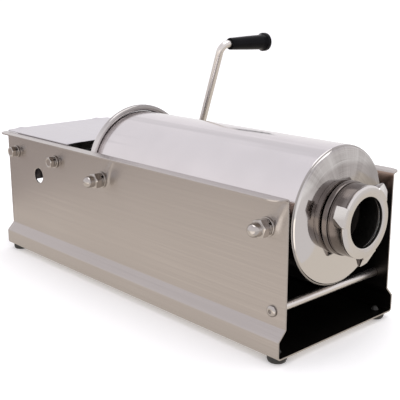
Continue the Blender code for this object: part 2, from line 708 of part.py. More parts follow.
def make_bull_gear():
    """Large gear on the pinion's shaft, with six lightening holes."""
    teeth = place_gear(gear_outline(BULL_TEETH, 0.0), PINION_X)
    item = solid("bull_gear", lambda bm: prism(bm, teeth, "Y", BULL_REAR_Y, BULL_FRONT_Y))

    def bores(bm):
        rod(bm, "Y", (PINION_X, 0, SHAFT_Z), BULL_REAR_Y - 2, BULL_FRONT_Y + 2, BULL_BORE, SIDES_MEDIUM)
        for k in range(6):
            angle = math.radians(60 * k + 30)
            x = PINION_X + 26 * math.cos(angle)
            z = SHAFT_Z + 26 * math.sin(angle)
            rod(bm, "Y", (x, 0, z), BULL_REAR_Y - 2, BULL_FRONT_Y + 2, 8.0)

    cut(item, bores)
    return item


def make_rack():
    """Square bar with teeth along its underside, threaded at the piston end."""
    pitch = math.pi * MODULE
    tip_z = PITCH_LINE_Z - MODULE
    root_z = PITCH_LINE_Z + 1.25 * MODULE
    slope = math.tan(PRESSURE_ANGLE)
    half = (pitch / 2 - TOOTH_THINNING) / 2
    half_tip = half - MODULE * slope
    half_root = half + 1.25 * MODULE * slope
    first = math.ceil((RACK_TAIL + 4 - PINION_X) / pitch - 0.5)
    last = math.floor((RACK_FRONT - 30 - PINION_X) / pitch - 0.5)
    outline = [(RACK_TOP, RACK_TAIL), (root_z, RACK_TAIL)]
    for k in range(first, last + 1):
        x = PINION_X + (k + 0.5) * pitch
        outline += [(root_z, x - half_root), (tip_z, x - half_tip), (tip_z, x + half_tip), (root_z, x + half_root)]
    outline += [(root_z, RACK_FRONT), (RACK_TOP, RACK_FRONT)]
    item = solid("rack_bar", lambda bm: prism(bm, outline, "Y", -RACK_HALF_WIDTH, RACK_HALF_WIDTH))
    centre = (0, 0, CYLINDER_AXIS_Z)
    cut(item, lambda bm: rod(bm, "X", centre, RACK_FRONT - 26, RACK_FRONT + 2, 4.4))
    rear_pin = (RACK_TAIL + 8, 0, (root_z + RACK_TOP) / 2)
    cut(item, lambda bm: rod(bm, "Y", rear_pin, -RACK_HALF_WIDTH - 2, RACK_HALF_WIDTH + 2, 2.5))
    return item


def make_rack_guide():
    """Grooved block that holds the rack down on its pinion."""
    y_start = BRACKET_LEG_Y + BRACKET_SHEET + GAP
    slot = RACK_HALF_WIDTH + GAP
    cheek = slot + 5.5
    low = 124.5
    top = BRACKET_TOP - BRACKET_SHEET - GAP
    under = RACK_TOP + GAP
    outline = [
        (y_start, under), (-cheek, under), (-cheek, low), (-slot, low), (-slot, under), (slot, under),
        (slot, low), (cheek, low), (cheek, top), (y_start, top),
    ]
    return solid("rack_guide", lambda bm: prism(bm, outline, "X", GUIDE_REAR, GUIDE_FRONT))


def make_gearbox_bracket():
    """Bent plate bolted to the near panel, whose leg carries the near bearings."""
    wall = -(PANEL_INSIDE - GAP)
    leg = BRACKET_LEG_Y
    sheet = BRACKET_SHEET
    outline = [
        (wall, BRACKET_FLANGE_BOTTOM), (wall + sheet, BRACKET_FLANGE_BOTTOM), (wall + sheet, BRACKET_TOP - sheet),
        (leg, BRACKET_TOP - sheet), (leg, BRACKET_BOTTOM), (leg + sheet, BRACKET_BOTTOM), (leg + sheet, BRACKET_TOP),
        (wall, BRACKET_TOP),
    ]
    item = solid("gearbox_bracket", lambda bm: prism(bm, outline, "X", GEARBOX_REAR, GEARBOX_FRONT))

    def holes(bm):
        for x in BOLT_X.values():
            rod(bm, "Y", (x, 0, BOLT_Z), wall - 2, wall + sheet + 2, BOLT_RADIUS + HOLE_CLEARANCE)
        for x in (PINION_X, CRANK_X):
            rod(bm, "Y", (x, 0, SHAFT_Z), leg - 2, leg + sheet + 2, BUSH_RADIUS + GAP, SIDES_MEDIUM)

    cut(item, holes)
    return item


def make_gearbox_plate():
    """Flat bearing plate bolted against the far panel."""
    low = (GEARBOX_REAR, FAR_PLATE_Y, BRACKET_BOTTOM)
    high = (GEARBOX_FRONT, FAR_PLATE_Y + FAR_PLATE, BRACKET_TOP)
    item = solid("gearbox_plate", lambda bm: block(bm, low, high))

    def holes(bm):
        for x in BOLT_X.values():
            rod(bm, "Y", (x, 0, BOLT_Z), FAR_PLATE_Y - 2, FAR_PLATE_Y + FAR_PLATE + 2, BOLT_RADIUS + HOLE_CLEARANCE)
        for x in (PINION_X, CRANK_X):
            rod(bm, "Y", (x, 0, SHAFT_Z), FAR_PLATE_Y - 2, FAR_PLATE_Y + FAR_PLATE + 2, BUSH_RADIUS + GAP, SIDES_MEDIUM)

    cut(item, holes)
    return item


def make_bush(name, x, side):
    """Flanged bush, its flange on the gear side of its plate."""
    if side > 0:
        flange_end = FAR_PLATE_Y - GAP
        body_end = CHANNEL_HALF_WIDTH + 1
    else:
        flange_end = BRACKET_LEG_Y + BRACKET_SHEET + GAP
        body_end = BRACKET_LEG_Y - 1
    flange_start = flange_end - side * BUSH_FLANGE
    outline = [
        (flange_start, BUSH_BORE), (flange_start, BUSH_FLANGE_RADIUS), (flange_end, BUSH_FLANGE_RADIUS),
        (flange_end, BUSH_RADIUS), (body_end, BUSH_RADIUS), (body_end, BUSH_BORE),
    ]
    return solid(name, lambda bm: lathe(bm, outline, "Y", (x, 0, SHAFT_Z), SIDES_MEDIUM, closed=True))


# ---- fasteners ----


def washer(name, x, z, side, start, thickness, inner, outer, split=False):
    """Ring on a fastener's axis. A split one is a spring washer with a slanted cut."""
    ends = (side * start, side * (start + thickness))
    outline = [(ends[0], inner), (ends[0], outer), (ends[1], outer), (ends[1], inner)]
    item = solid(name, lambda bm: lathe(bm, outline, "Y", (x, 0, z), SIDES_SMALL, closed=True))
    if split:
        slant = [(-1.3, 0.4), (-0.1, 0.4), (1.3, outer + 2), (0.1, outer + 2)]
        points = [(z + v, x + u) for u, v in slant]
        low, high = sorted((ends[0] - side, ends[1] + side))
        cut(item, lambda bm: prism(bm, points, "Y", low, high))
    return item


def hexagon_radius(across_flats):
    return across_flats / math.sqrt(3)


def make_stud(name, x, side):
    """Shouldered stud between the cylinder and a side panel."""
    inner = CYLINDER_RADIUS + GAP
    shoulder = PANEL_INSIDE - GAP
    tip = CHANNEL_HALF_WIDTH + 3 * GAP + FLAT_WASHER + SPRING_WASHER + ACORN_DOME_CENTRE - 1
    outline = [
        (side * inner, 0), (side * inner, STUD_BOSS_RADIUS), (side * shoulder, STUD_BOSS_RADIUS),
        (side * shoulder, STUD_RADIUS), (side * tip, STUD_RADIUS), (side * tip, 0),
    ]
    return solid(name, lambda bm: lathe(bm, outline, "Y", (x, 0, STUD_Z), SIDES_SMALL))


def make_acorn_nut(name, x, side):
    """Hexagon nut with a closed dome."""
    base = CHANNEL_HALF_WIDTH + 3 * GAP + FLAT_WASHER + SPRING_WASHER
    centre = (x, 0, STUD_Z)
    corner = hexagon_radius(ACORN_ACROSS_FLATS)
    flats = ACORN_ACROSS_FLATS / 2
    hexagon = [(STUD_Z + v, x + u) for u, v in arc((0, 0), corner, 30, 330, 5)]
    low, high = sorted((side * base, side * (base + ACORN_HEX_HEIGHT)))
    item = solid(name, lambda bm: prism(bm, hexagon, "Y", low, high))
    rounding = [
        (side * (base - 1), 0), (side * (base - 1), corner - 1.0), (side * (base + 0.8), corner + 0.4),
        (side * (base + ACORN_HEX_HEIGHT - 1.4), corner + 0.4), (side * (base + ACORN_HEX_HEIGHT), flats),
        (side * (base + ACORN_HEX_HEIGHT + 1), flats - 1.5), (side * (base + ACORN_HEX_HEIGHT + 1), 0),
    ]
    combine(item, solid("round", lambda bm: lathe(bm, rounding, "Y", centre, SIDES_MEDIUM)), "INTERSECT")
    dome_base = base + ACORN_HEX_HEIGHT - 1
    dome_centre = base + ACORN_DOME_CENTRE
    dome = [(side * dome_base, 0), (side * dome_base, ACORN_DOME_RADIUS)]
    for a, r in arc((0, 0), ACORN_DOME_RADIUS, 90, 22, 3):
        dome.append((side * (dome_centre + a), r))
    dome.append((side * (dome_centre + ACORN_DOME_RADIUS), 0))
    join(item, lambda bm: lathe(bm, dome, "Y", centre, SIDES_SMALL))
    hole = [
        (side * (base - 2), 0), (side * (base - 2), STUD_RADIUS + HOLE_CLEARANCE),
        (side * (dome_centre - 0.5), STUD_RADIUS + HOLE_CLEARANCE), (side * (dome_centre - 0.5), 0),
    ]
    cut(item, lambda bm: lathe(bm, hole, "Y", centre, SIDES_SMALL))
    return item


def make_hex_bolt(name, x, side):
    """Hexagon bolt through a side panel into the gearbox."""
    base = CHANNEL_HALF_WIDTH + 3 * GAP + FLAT_WASHER + SPRING_WASHER
    centre = (x, 0, BOLT_Z)
    corner = hexagon_radius(HEAD_ACROSS_FLATS)
    hexagon = [(BOLT_Z + v, x + u) for u, v in arc((0, 0), corner, 0, 300, 5)]
    low, high = sorted((side * base, side * (base + HEAD_HEIGHT)))
    item = solid(name, lambda bm: prism(bm, hexagon, "Y", low, high))
    top = base + HEAD_HEIGHT
    rounding = [
        (side * (base - 1), 0), (side * (base - 1), corner + 1), (side * (top - 1.0), corner + 0.2),
        (side * (top + 0.1), HEAD_ACROSS_FLATS / 2 - 0.4), (side * (top + 0.1), 0),
    ]
    combine(item, solid("round", lambda bm: lathe(bm, rounding, "Y", centre, SIDES_MEDIUM)), "INTERSECT")
    tip = PANEL_INSIDE - GAP - FAR_PLATE - 3
    shank = [
        (side * tip, 0), (side * tip, BOLT_RADIUS), (side * (base + 2), BOLT_RADIUS), (side * (base + 2), 0),
    ]
    join(item, lambda bm: lathe(bm, shank, "Y", centre, SIDES_SMALL))
    return item


def make_tie_rod():
    """Round spacer bar across the open front, tapped at both ends."""
    end = PANEL_INSIDE - GAP
    hole = TIE_SCREW_RADIUS + HOLE_CLEARANCE
    centre = (TIE_X, 0, TIE_Z)
    item = solid("front_tie_rod", lambda bm: rod(bm, "Y", centre, -end, end, TIE_RADIUS, SIDES_MEDIUM))
    for side in SIDES.values():
        start, stop = sorted((side * (end - 16), side * (end + 2)))
        cut(item, lambda bm: rod(bm, "Y", centre, start, stop, hole))
    return item


def make_tie_screw(name, side):
    """Button-headed screw with a hexagon socket."""
    seat = CHANNEL_HALF_WIDTH + GAP
    outline = [
        (side * (PANEL_INSIDE - 14), 0), (side * (PANEL_INSIDE - 14), TIE_SCREW_RADIUS), (side * seat, TIE_SCREW_RADIUS),
        (side * seat, 5.8), (side * (seat + 1.0), 5.9), (side * (seat + 2.2), 5.0), (side * (seat + 3.0), 3.6),
        (side * (seat + 3.2), 0),
    ]
    item = solid(name, lambda bm: lathe(bm, outline, "Y", (TIE_X, 0, TIE_Z), SIDES_MEDIUM))
    hexagon = [(TIE_Z + v, TIE_X + u) for u, v in arc((0, 0), 2.3, 0, 300, 5)]
    start, stop = sorted((side * (seat + 1.2), side * (seat + 6)))
    cut(item, lambda bm: prism(bm, hexagon, "Y", start, stop))
    return item


# ---- crank ----

ARM = Vector((math.sin(ARM_LEAN), 0, math.cos(ARM_LEAN)))
HUB_CENTRE = Vector((CRANK_X, ARM_PLANE_Y, SHAFT_Z))
BEND_POINT = HUB_CENTRE + ARM * ARM_LENGTH
GRIP_AXIS = (BEND_POINT.x, 0, BEND_POINT.z)


def sweep(bm, path, across, radius, segments):
    """A round bar along a path that lies in the plane square to across."""
    rings = []
    for k, point in enumerate(path):
        before = path[max(k - 1, 0)]
        after = path[min(k + 1, len(path) - 1)]
        tangent = (after - before).normalized()
        other = tangent.cross(across)
        ring = []
        for s in range(segments):
            angle = 2 * math.pi * s / segments
            ring.append(bm.verts.new(point + radius * (math.cos(angle) * across + math.sin(angle) * other)))
        rings.append(ring)
    for first, second in zip(rings, rings[1:]):
        for s in range(segments):
            n = (s + 1) % segments
            bm.faces.new((first[s], first[n], second[n], second[s]))
    bm.faces.new(rings[0])
    bm.faces.new(rings[-1])


def make_crank_rod():
    """Round bar bent through a right angle to carry the grip."""
    outward = Vector((0, 1, 0))
    path = [HUB_CENTRE + ARM * 4, HUB_CENTRE + ARM * (ARM_LENGTH - ARM_BEND_RADIUS)]
    corner = BEND_POINT - ARM * ARM_BEND_RADIUS + outward * ARM_BEND_RADIUS
    for k in range(1, 8):
        angle = math.radians(90 * k / 8)
        path.append(corner - outward * ARM_BEND_RADIUS * math.cos(angle) + ARM * ARM_BEND_RADIUS * math.sin(angle))
    path.append(BEND_POINT + outward * ARM_BEND_RADIUS)
    path.append(Vector((BEND_POINT.x, GRIP_SCREW_HEAD_Y - GAP, BEND_POINT.z)))
    across = outward.cross(ARM)
    item = solid("crank_rod", lambda bm: sweep(bm, path, across, ARM_RADIUS, SIDES_SMALL))
    end = GRIP_SCREW_HEAD_Y
    cut(item, lambda bm: rod(bm, "Y", GRIP_AXIS, end - 16, end + 2, 2.4))
    return item


def make_crank_hub():
    """Socket that fits over a shaft's square end, with the arm set in its outer end."""
    outline = [
        (HUB_INNER_Y, 0), (HUB_INNER_Y, HUB_RADIUS - 1), (HUB_INNER_Y + 1, HUB_RADIUS),
        (HUB_OUTER_Y - 1.5, HUB_RADIUS), (HUB_OUTER_Y, HUB_RADIUS - 1.5), (HUB_OUTER_Y, 0),
    ]
    item = solid("crank_hub", lambda bm: lathe(bm, outline, "Y", (CRANK_X, 0, SHAFT_Z), SIDES_MEDIUM))
    half = SQUARE_HALF + GAP
    low = (CRANK_X - half, HUB_INNER_Y - 2, SHAFT_Z - half)
    high = (CRANK_X + half, SOCKET_END_Y, SHAFT_Z + half)
    cut(item, lambda bm: block(bm, low, high))
    path = [HUB_CENTRE + ARM * 3.6, HUB_CENTRE + ARM * 20]
    across = Vector((0, 1, 0)).cross(ARM)
    cut(item, lambda bm: sweep(bm, path, across, ARM_RADIUS + HOLE_CLEARANCE, SIDES_SMALL))
    return item


def make_grip():
    """Tapered grip with a flared end, free to turn on the rod."""
    bore = ARM_RADIUS + 0.5
    outline = [
        (GRIP_INNER_Y, bore), (GRIP_INNER_Y, 7.0), (GRIP_INNER_Y + 1.2, 8.0), (GRIP_INNER_Y + 20, 8.9),
        (GRIP_INNER_Y + 44, 9.8), (GRIP_OUTER_Y - 15, 10.2), (GRIP_OUTER_Y - 11, 11.6), (GRIP_OUTER_Y - 7, 12.7),
        (GRIP_OUTER_Y - 2.5, 12.7), (GRIP_OUTER_Y, 11.0), (GRIP_OUTER_Y, 8.6), (GRIP_SCREW_HEAD_Y - 0.6, 8.6),
        (GRIP_SCREW_HEAD_Y - 0.6, bore),
    ]
    return solid("crank_grip", lambda bm: lathe(bm, outline, "Y", GRIP_AXIS, SIDES_MEDIUM, closed=True))


def make_grip_screw():
    """Screw that keeps the grip on its rod."""
    head = GRIP_SCREW_HEAD_Y
    outline = [
        (head - 14, 0), (head - 14, 2.0), (head, 2.0), (head, 7.8), (head + 1.6, 7.8), (head + 3.2, 6.0),
        (head + 3.8, 3.0), (head + 3.9, 0),
    ]
    item = solid("grip_screw", lambda bm: lathe(bm, outline, "Y", GRIP_AXIS, SIDES_SMALL))
    low = (GRIP_AXIS[0] - 6, head + 2.2, GRIP_AXIS[2] - 0.7)
    high = (GRIP_AXIS[0] + 6, head + 6, GRIP_AXIS[2] + 0.7)
    cut(item, lambda bm: block(bm, low, high))
    return item


def main():
    for item in list(bpy.data.objects):
        bpy.data.objects.remove(item)
    looks = make_materials()
    steel = looks["brushed_steel"]
    polished = looks["polished_steel"]
    hardware = looks["fastener_steel"]
    machined = looks["machined_steel"]

    publish(make_channel(), steel)
    publish(make_cover(), looks["cover_steel"])
    for name, (x, y) in foot_places().items():
        publish(make_foot(name, x, y), looks["foot_rubber"])
    publish(make_tie_rod(), hardware)
    for name, side in SIDES.items():
        publish(make_tie_screw(f"tie_screw_{name}", side), hardware)

    axis = (BEAD_X, 0, CYLINDER_AXIS_Z)
    publish(make_barrel(), polished)
    publish(make_bead(), polished)
    publish(make_neck(), polished)
    nut_pivot = (NUT_REAR, 0, CYLINDER_AXIS_Z)
    publish(make_nozzle_nut(), polished, nut_pivot)
    publish(make_gasket(), looks["seal_silicone"], nut_pivot)

    rack_pivot = (RACK_FRONT, 0, CYLINDER_AXIS_Z)
    publish(make_piston(), polished, rack_pivot)
    publish(make_piston_seal(), looks["seal_silicone"], rack_pivot)
    publish(make_piston_screw(), hardware, rack_pivot)
    publish(make_rack(), machined, rack_pivot)

    publish(make_rack_guide(), machined)
    publish(make_gearbox_bracket(), machined)
    publish(make_gearbox_plate(), machined)
    pinion_pivot = (PINION_X, 0, SHAFT_Z)
    crank_pivot = (CRANK_X, 0, SHAFT_Z)
    publish(make_pinion_shaft(), machined, pinion_pivot)
    publish(make_bull_gear(), machined, pinion_pivot)
    publish(make_crank_shaft(), machined, crank_pivot)
    for shaft, x in (("pinion", PINION_X), ("crank", CRANK_X)):
        for name, side in SIDES.items():
            publish(make_bush(f"{shaft}_bush_{name}", x, side), looks["bush_bronze"])

    first = CHANNEL_HALF_WIDTH + GAP
    second = first + FLAT_WASHER + GAP
    for side_name, side in SIDES.items():
        for end_name, x in STUD_X.items():
            tag = f"{side_name}_{end_name}"
            hole = STUD_RADIUS + HOLE_CLEARANCE
            publish(make_stud(f"stud_{tag}", x, side), hardware)
            publish(washer(f"stud_washer_{tag}", x, STUD_Z, side, first, FLAT_WASHER, hole, 9.8), hardware)
            spring = washer(f"stud_spring_{tag}", x, STUD_Z, side, second, SPRING_WASHER, hole, 8.6, True)
            publish(spring, hardware)
            publish(make_acorn_nut(f"acorn_nut_{tag}", x, side), hardware)
        for end_name, x in BOLT_X.items():
            tag = f"{side_name}_{end_name}"
            hole = BOLT_RADIUS + HOLE_CLEARANCE
            publish(make_hex_bolt(f"hex_bolt_{tag}", x, side), hardware)
            publish(washer(f"bolt_washer_{tag}", x, BOLT_Z, side, first, FLAT_WASHER, hole, 8.0), hardware)
            spring = washer(f"bolt_spring_{tag}", x, BOLT_Z, side, second, SPRING_WASHER, hole, 6.8, True)
            publish(spring, hardware)

    publish(make_crank_hub(), hardware, crank_pivot)
    publish(make_crank_rod(), polished, crank_pivot)
    publish(make_grip_screw(), hardware, crank_pivot)
    publish(make_grip(), looks["grip_plastic"], GRIP_AXIS)


main()
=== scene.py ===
"""Looks for the hand-cranked sausage stuffer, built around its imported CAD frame.

Pieces are drawn in the part's drawing coordinates, in millimetres: x = 0 is the rear end of the
channel and +x runs to the outlet, y = 0 is the middle plane with the crank on the +y side, and
z = 0 is the underside of the bottom plate. finish_piece() moves them to the frame, in metres.
"""

import math

import bmesh
import bpy
from mathutils import Matrix, Vector, noise


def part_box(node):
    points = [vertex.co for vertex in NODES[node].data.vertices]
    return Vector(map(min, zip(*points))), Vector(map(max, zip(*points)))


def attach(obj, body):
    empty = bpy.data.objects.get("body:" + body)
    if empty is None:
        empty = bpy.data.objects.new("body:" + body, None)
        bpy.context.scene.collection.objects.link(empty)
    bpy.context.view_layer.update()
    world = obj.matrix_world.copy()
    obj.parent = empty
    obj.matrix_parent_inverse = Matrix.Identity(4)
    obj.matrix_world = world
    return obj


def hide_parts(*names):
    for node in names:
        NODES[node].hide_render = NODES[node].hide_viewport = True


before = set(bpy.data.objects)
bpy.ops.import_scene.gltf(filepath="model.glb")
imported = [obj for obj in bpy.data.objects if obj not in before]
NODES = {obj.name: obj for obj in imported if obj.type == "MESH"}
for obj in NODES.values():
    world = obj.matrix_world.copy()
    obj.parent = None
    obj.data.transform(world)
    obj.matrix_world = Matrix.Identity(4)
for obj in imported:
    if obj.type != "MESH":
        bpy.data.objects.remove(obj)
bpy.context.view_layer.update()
MM = 0.001
GAP = 0.3  # clearance between pieces that touch

# sides of round shapes
FINE = 192
MEDIUM = 96
COARSE = 48

# the part's own dimensions, read back from the frame where a box gives them
CHANNEL_LOW, CHANNEL_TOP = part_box("body_channel")
ORIGIN = Vector((-CHANNEL_LOW.x, -(CHANNEL_LOW.y + CHANNEL_TOP.y) / 2, -CHANNEL_LOW.z)) / MM

CHANNEL_LENGTH = (CHANNEL_TOP.x - CHANNEL_LOW.x) / MM
CHANNEL_HEIGHT = (CHANNEL_TOP.z - CHANNEL_LOW.z) / MM
CHANNEL_HALF_WIDTH = 83.1
SHEET = 1.5
FOOT_STEP_OUT = 9.6
FOOT_STEP_LOW = 19.0
FOOT_STEP_HIGH = 29.0
FLANGE_OUT = 15.4
FLANGE_CORNER = 14.0
BEND_RADIUS = 3.0
FOOT_STEP_RADIUS = 2.2
PANEL_INSIDE = CHANNEL_HALF_WIDTH - SHEET

COVER_REAR = -4.0
COVER_FRONT = 149.0
COVER_HALF_WIDTH = 84.0
COVER_UNDERSIDE = CHANNEL_HEIGHT + GAP
SKIRT_HALF_WIDTH = 66.0
SKIRT_BOTTOM = 83.5
RACK_SLOT_HALF_WIDTH = 13.0
RACK_SLOT_LOW = 111.0
RACK_SLOT_HIGH = 141.0

FOOT_RADIUS = 10.0
FOOT_HEIGHT = 7.0
FOOT_INSET_X = 12.5
FOOT_X = {"rear": FOOT_INSET_X, "front": CHANNEL_LENGTH - FOOT_INSET_X}
FOOT_Y = 80.0
FOOT_STEM_RADIUS = 3.0

CYLINDER_AXIS_Z = 125.3
CYLINDER_RADIUS = 71.5
CYLINDER_WALL = 1.5
CYLINDER_REAR = 181.5
CYLINDER_FRONT = 505.2
BORE_RADIUS = CYLINDER_RADIUS - CYLINDER_WALL
DOME_RISE = 6.0
SHOULDER_RISE = 1.5
SHOULDER_WIDTH = 1.4
DISC_HOLE_RADIUS = 32.3
BEAD_TUBE_RADIUS = 3.8
BEAD_X = 185.3

NECK_BORE = 27.0
NECK_TUBE = 32.0
NECK_COLLAR = 37.5
COLLAR_REAR = 512.3
COLLAR_FRONT = 518.7
THREAD_ROOT = 32.4
THREAD_FRONT = 533.0
THREAD_PITCH = 4.0
THREAD_TURNS = 3
THREAD_TOOTH = ((0.0, 0), (0.9, 1), (2.1, 1), (3.0, 0))  # (place in the pitch, 0 low or 1 high)
NUT_REAR = COLLAR_FRONT + GAP
NUT_FRONT = 538.6
NUT_RADIUS = 36.3
NUT_HOLE = 25.4
NUT_LIP = 3.6
EAR_RADIUS = 46.5
EAR_REAR = 528.0
EAR_SWEEP = 5.0
EAR_REAR_SLOPE = 2.5
EAR_ANGLES = (37.5, 157.5, 277.5)
EAR_TIP_HALF_ANGLE = 7.5
EAR_STEEP_SIDE = 2.8125  # degrees from the tip's corner down to the barrel
EAR_SLOPING_SIDE = 14.0625

STUD_Z = 126.7
STUD_X = {"front": 485.3, "rear": 218.4}
STUD_RADIUS = 5.0
STUD_BOSS_RADIUS = 9.0
BOLT_Z = 133.0
BOLT_X = {"front": 117.2, "rear": 22.1}
BOLT_RADIUS = 4.0
HOLE_CLEARANCE = 0.4
ACCESS_HOLE_RADIUS = 10.0
SIDES = {"near": -1, "far": 1}

TIE_X = 493.6
TIE_Z = 44.0
TIE_RADIUS = 4.5
TIE_SCREW_RADIUS = 2.5

PINION_X = 75.5
CRANK_X = 131.5
SHAFT_Z = 108.0
FAR_PLATE_Y = PANEL_INSIDE - GAP - 4.0
BRACKET_LEG_Y = -30.0
BRACKET_SHEET = 3.0
BUSH_RADIUS = 9.7
BUSH_FLANGE_RADIUS = 13.0
BUSH_FLANGE = 2.3
BUSH_BORE = 7.3

PISTON_FACE = 470.0
PISTON_BACK = 448.0
PISTON_RADIUS = 69.0

ARM_PLANE_Y = 140.0
ARM_LEAN = math.radians(19.6)
ARM_LENGTH = 176.0
ARM_RADIUS = 5.0
ARM_BEND_RADIUS = 12.0
HUB_RADIUS = 12.0
HUB_INNER_Y = 101.0
HUB_OUTER_Y = 148.0
SQUARE_HALF = 6.0
SOCKET_END_Y = 131.0
GRIP_INNER_Y = 155.0
GRIP_OUTER_Y = 228.0
GRIP_SCREW_HEAD_Y = 221.0

ACORN_ACROSS_FLATS = 17.0
ACORN_HEX_HEIGHT = 8.0
ACORN_DOME_RADIUS = 6.8
ACORN_DOME_CENTRE = 13.0
HEAD_ACROSS_FLATS = 13.0
HEAD_HEIGHT = 5.3
FLAT_WASHER = 2.0
SPRING_WASHER = 2.4

AXES = {"X": (0, 1, 2), "Y": (1, 2, 0), "Z": (2, 0, 1)}

ARM = Vector((math.sin(ARM_LEAN), 0, math.cos(ARM_LEAN)))
HUB_CENTRE = Vector((CRANK_X, ARM_PLANE_Y, SHAFT_Z))
BEND_POINT = HUB_CENTRE + ARM * ARM_LENGTH
GRIP_AXIS = (BEND_POINT.x, 0, BEND_POINT.z)


# ---- materials ----


class Nodes:
    """A node tree, with helpers that add nodes and link them."""

    def __init__(self, tree):
        self.tree = tree

    def feed(self, socket, value):
        """Link a socket to another one, or give it a plain value."""
        if isinstance(value, bpy.types.NodeSocket):
            self.tree.links.new(value, socket)
        else:
            socket.default_value = value

    def add(self, kind, **inputs):
        made = self.tree.nodes.new(kind)
        for key, value in inputs.items():
            self.feed(made.inputs[key.replace("_", " ")], value)
        return made

    def ramp(self, value, low, high, to_low, to_high, interpolation="LINEAR"):
        """value from low to high, spread over to_low to to_high and held there outside."""
        made = self.add(
            "ShaderNodeMapRange", Value=value, From_Min=low, From_Max=high, To_Min=to_low, To_Max=to_high
        )
        made.clamp = True
        made.interpolation_type = interpolation
        return made.outputs["Result"]

    def math(self, operation, first, second):
        made = self.tree.nodes.new("ShaderNodeMath")
        made.operation = operation
        self.feed(made.inputs[0], first)
        self.feed(made.inputs[1], second)
        return made.outputs["Value"]

    def mix(self, factor, *colours):
        """Mix two colours, each given as three numbers or as a socket."""
        made = self.tree.nodes.new("ShaderNodeMix")
        made.data_type = "RGBA"
        self.feed(made.inputs["Factor"], factor)
        for number, colour in zip((6, 7), colours):
            is_socket = isinstance(colour, bpy.types.NodeSocket)
            self.feed(made.inputs[number], colour if is_socket else (*colour, 1.0))
        return made.outputs[2]


class Look(Nodes):
    """A Principled material whose detail comes from the piece's own coordinates."""

    def __init__(self, name, colour, metallic, roughness):
        self.material = bpy.data.materials.new(name)
        self.material.use_nodes = True
        super().__init__(self.material.node_tree)
        self.shader = self.tree.nodes["Principled BSDF"]
        self.set("Base Color", (*colour, 1.0))
        self.set("Metallic", metallic)
        self.set("Roughness", roughness)
        self.place = self.add("ShaderNodeTexCoord").outputs["Object"]

    def set(self, socket, value):
        self.feed(self.shader.inputs[socket], value)

    def recolour(self, factor, colour):
        """Mix another colour over the linked base colour."""
        plain = self.shader.inputs["Base Color"].links[0].from_socket
        self.set("Base Color", self.mix(factor, plain, colour))

    def noise(self, vector, detail, rough):
        made = self.add("ShaderNodeTexNoise", Vector=vector, Scale=1.0, Detail=detail, Roughness=rough)
        return made.outputs["Fac"]

    def grain(self, stretch, detail=3.0, rough=0.6):
        """Noise with its own number of spots per metre on each axis."""
        mapping = self.add("ShaderNodeMapping", Vector=self.place, Scale=stretch)
        return self.noise(mapping.outputs["Vector"], detail, rough)

    def bump(self, height, strength, distance):
        made = self.add("ShaderNodeBump", Height=height, Strength=strength, Distance=distance)
        self.set("Normal", made.outputs["Normal"])


GRAIN_BUMP = 0.00003  # metres from the bottom of the grain to its top


def scaled(colour, amount):
    return tuple(part * amount for part in colour)


def brushed_look(name, colour, roughness, stretch, depth, spread, tint, line_contrast=0.94):
    """Stainless sheet with a brushed grain, faint handling marks and uneven shine."""
    look = Look(name, colour, 1.0, roughness)
    lines = look.grain(stretch, 4.0, 0.7)
    blotches = look.grain((5, 7, 7), 2.0, 0.5)
    smears = look.grain((20, 45, 45), 3.0, 0.5)
    shade = look.mix(look.ramp(blotches, 0.35, 0.65, 0.0, 1.0), scaled(colour, 0.98), tint)
    line_shade = look.ramp(lines, 0.3, 0.7, 0.0, 1.0)
    look.set("Base Color", look.mix(line_shade, shade, scaled(colour, line_contrast)))
    dull_lines = look.ramp(lines, 0.3, 0.7, 0.0, spread)
    dull_smears = look.ramp(smears, 0.4, 0.7, 0.0, spread * 0.5)
    look.set("Roughness", look.math("ADD", look.math("ADD", dull_lines, dull_smears), roughness))
    look.bump(lines, depth, GRAIN_BUMP)
    return look


def polished_look(name, colour, roughness, stretch, depth, streaks=None):
    """Mirror-polished stainless with faint polishing lines and a few dull smears."""
    look = Look(name, colour, 1.0, roughness)
    lines = look.grain(stretch, 3.0, 0.6)
    cloud = look.grain((14, 14, 14), 3.0, 0.55)
    shade = look.mix(look.ramp(cloud, 0.35, 0.65, 0.0, 1.0), scaled(colour, 0.97), scaled(colour, 1.03))
    look.set("Base Color", shade)
    if streaks:
        look.recolour(look.ramp(look.grain(streaks, 2.0, 0.5), 0.54, 0.66, 0.0, 1.0), scaled(colour, 0.86))
    dull_lines = look.ramp(lines, 0.35, 0.7, 0.0, 0.05)
    dull_smears = look.ramp(cloud, 0.45, 0.7, 0.0, 0.05)
    look.set("Roughness", look.math("ADD", look.math("ADD", dull_lines, dull_smears), roughness))
    look.bump(lines, depth, GRAIN_BUMP)
    return look


def around_cylinder(look):
    """Angle around the cylinder's axis and distance from it, in metres."""
    centre = (Vector((0, 0, CYLINDER_AXIS_Z)) - ORIGIN) * MM
    split = look.add("ShaderNodeSeparateXYZ", Vector=look.place)
    across = look.math("SUBTRACT", split.outputs["Y"], centre.y)
    up = look.math("SUBTRACT", split.outputs["Z"], centre.z)
    squares = look.math("ADD", look.math("MULTIPLY", across, across), look.math("MULTIPLY", up, up))
    return look.math("ARCTAN2", up, across), look.math("SQRT", squares, 0.0)


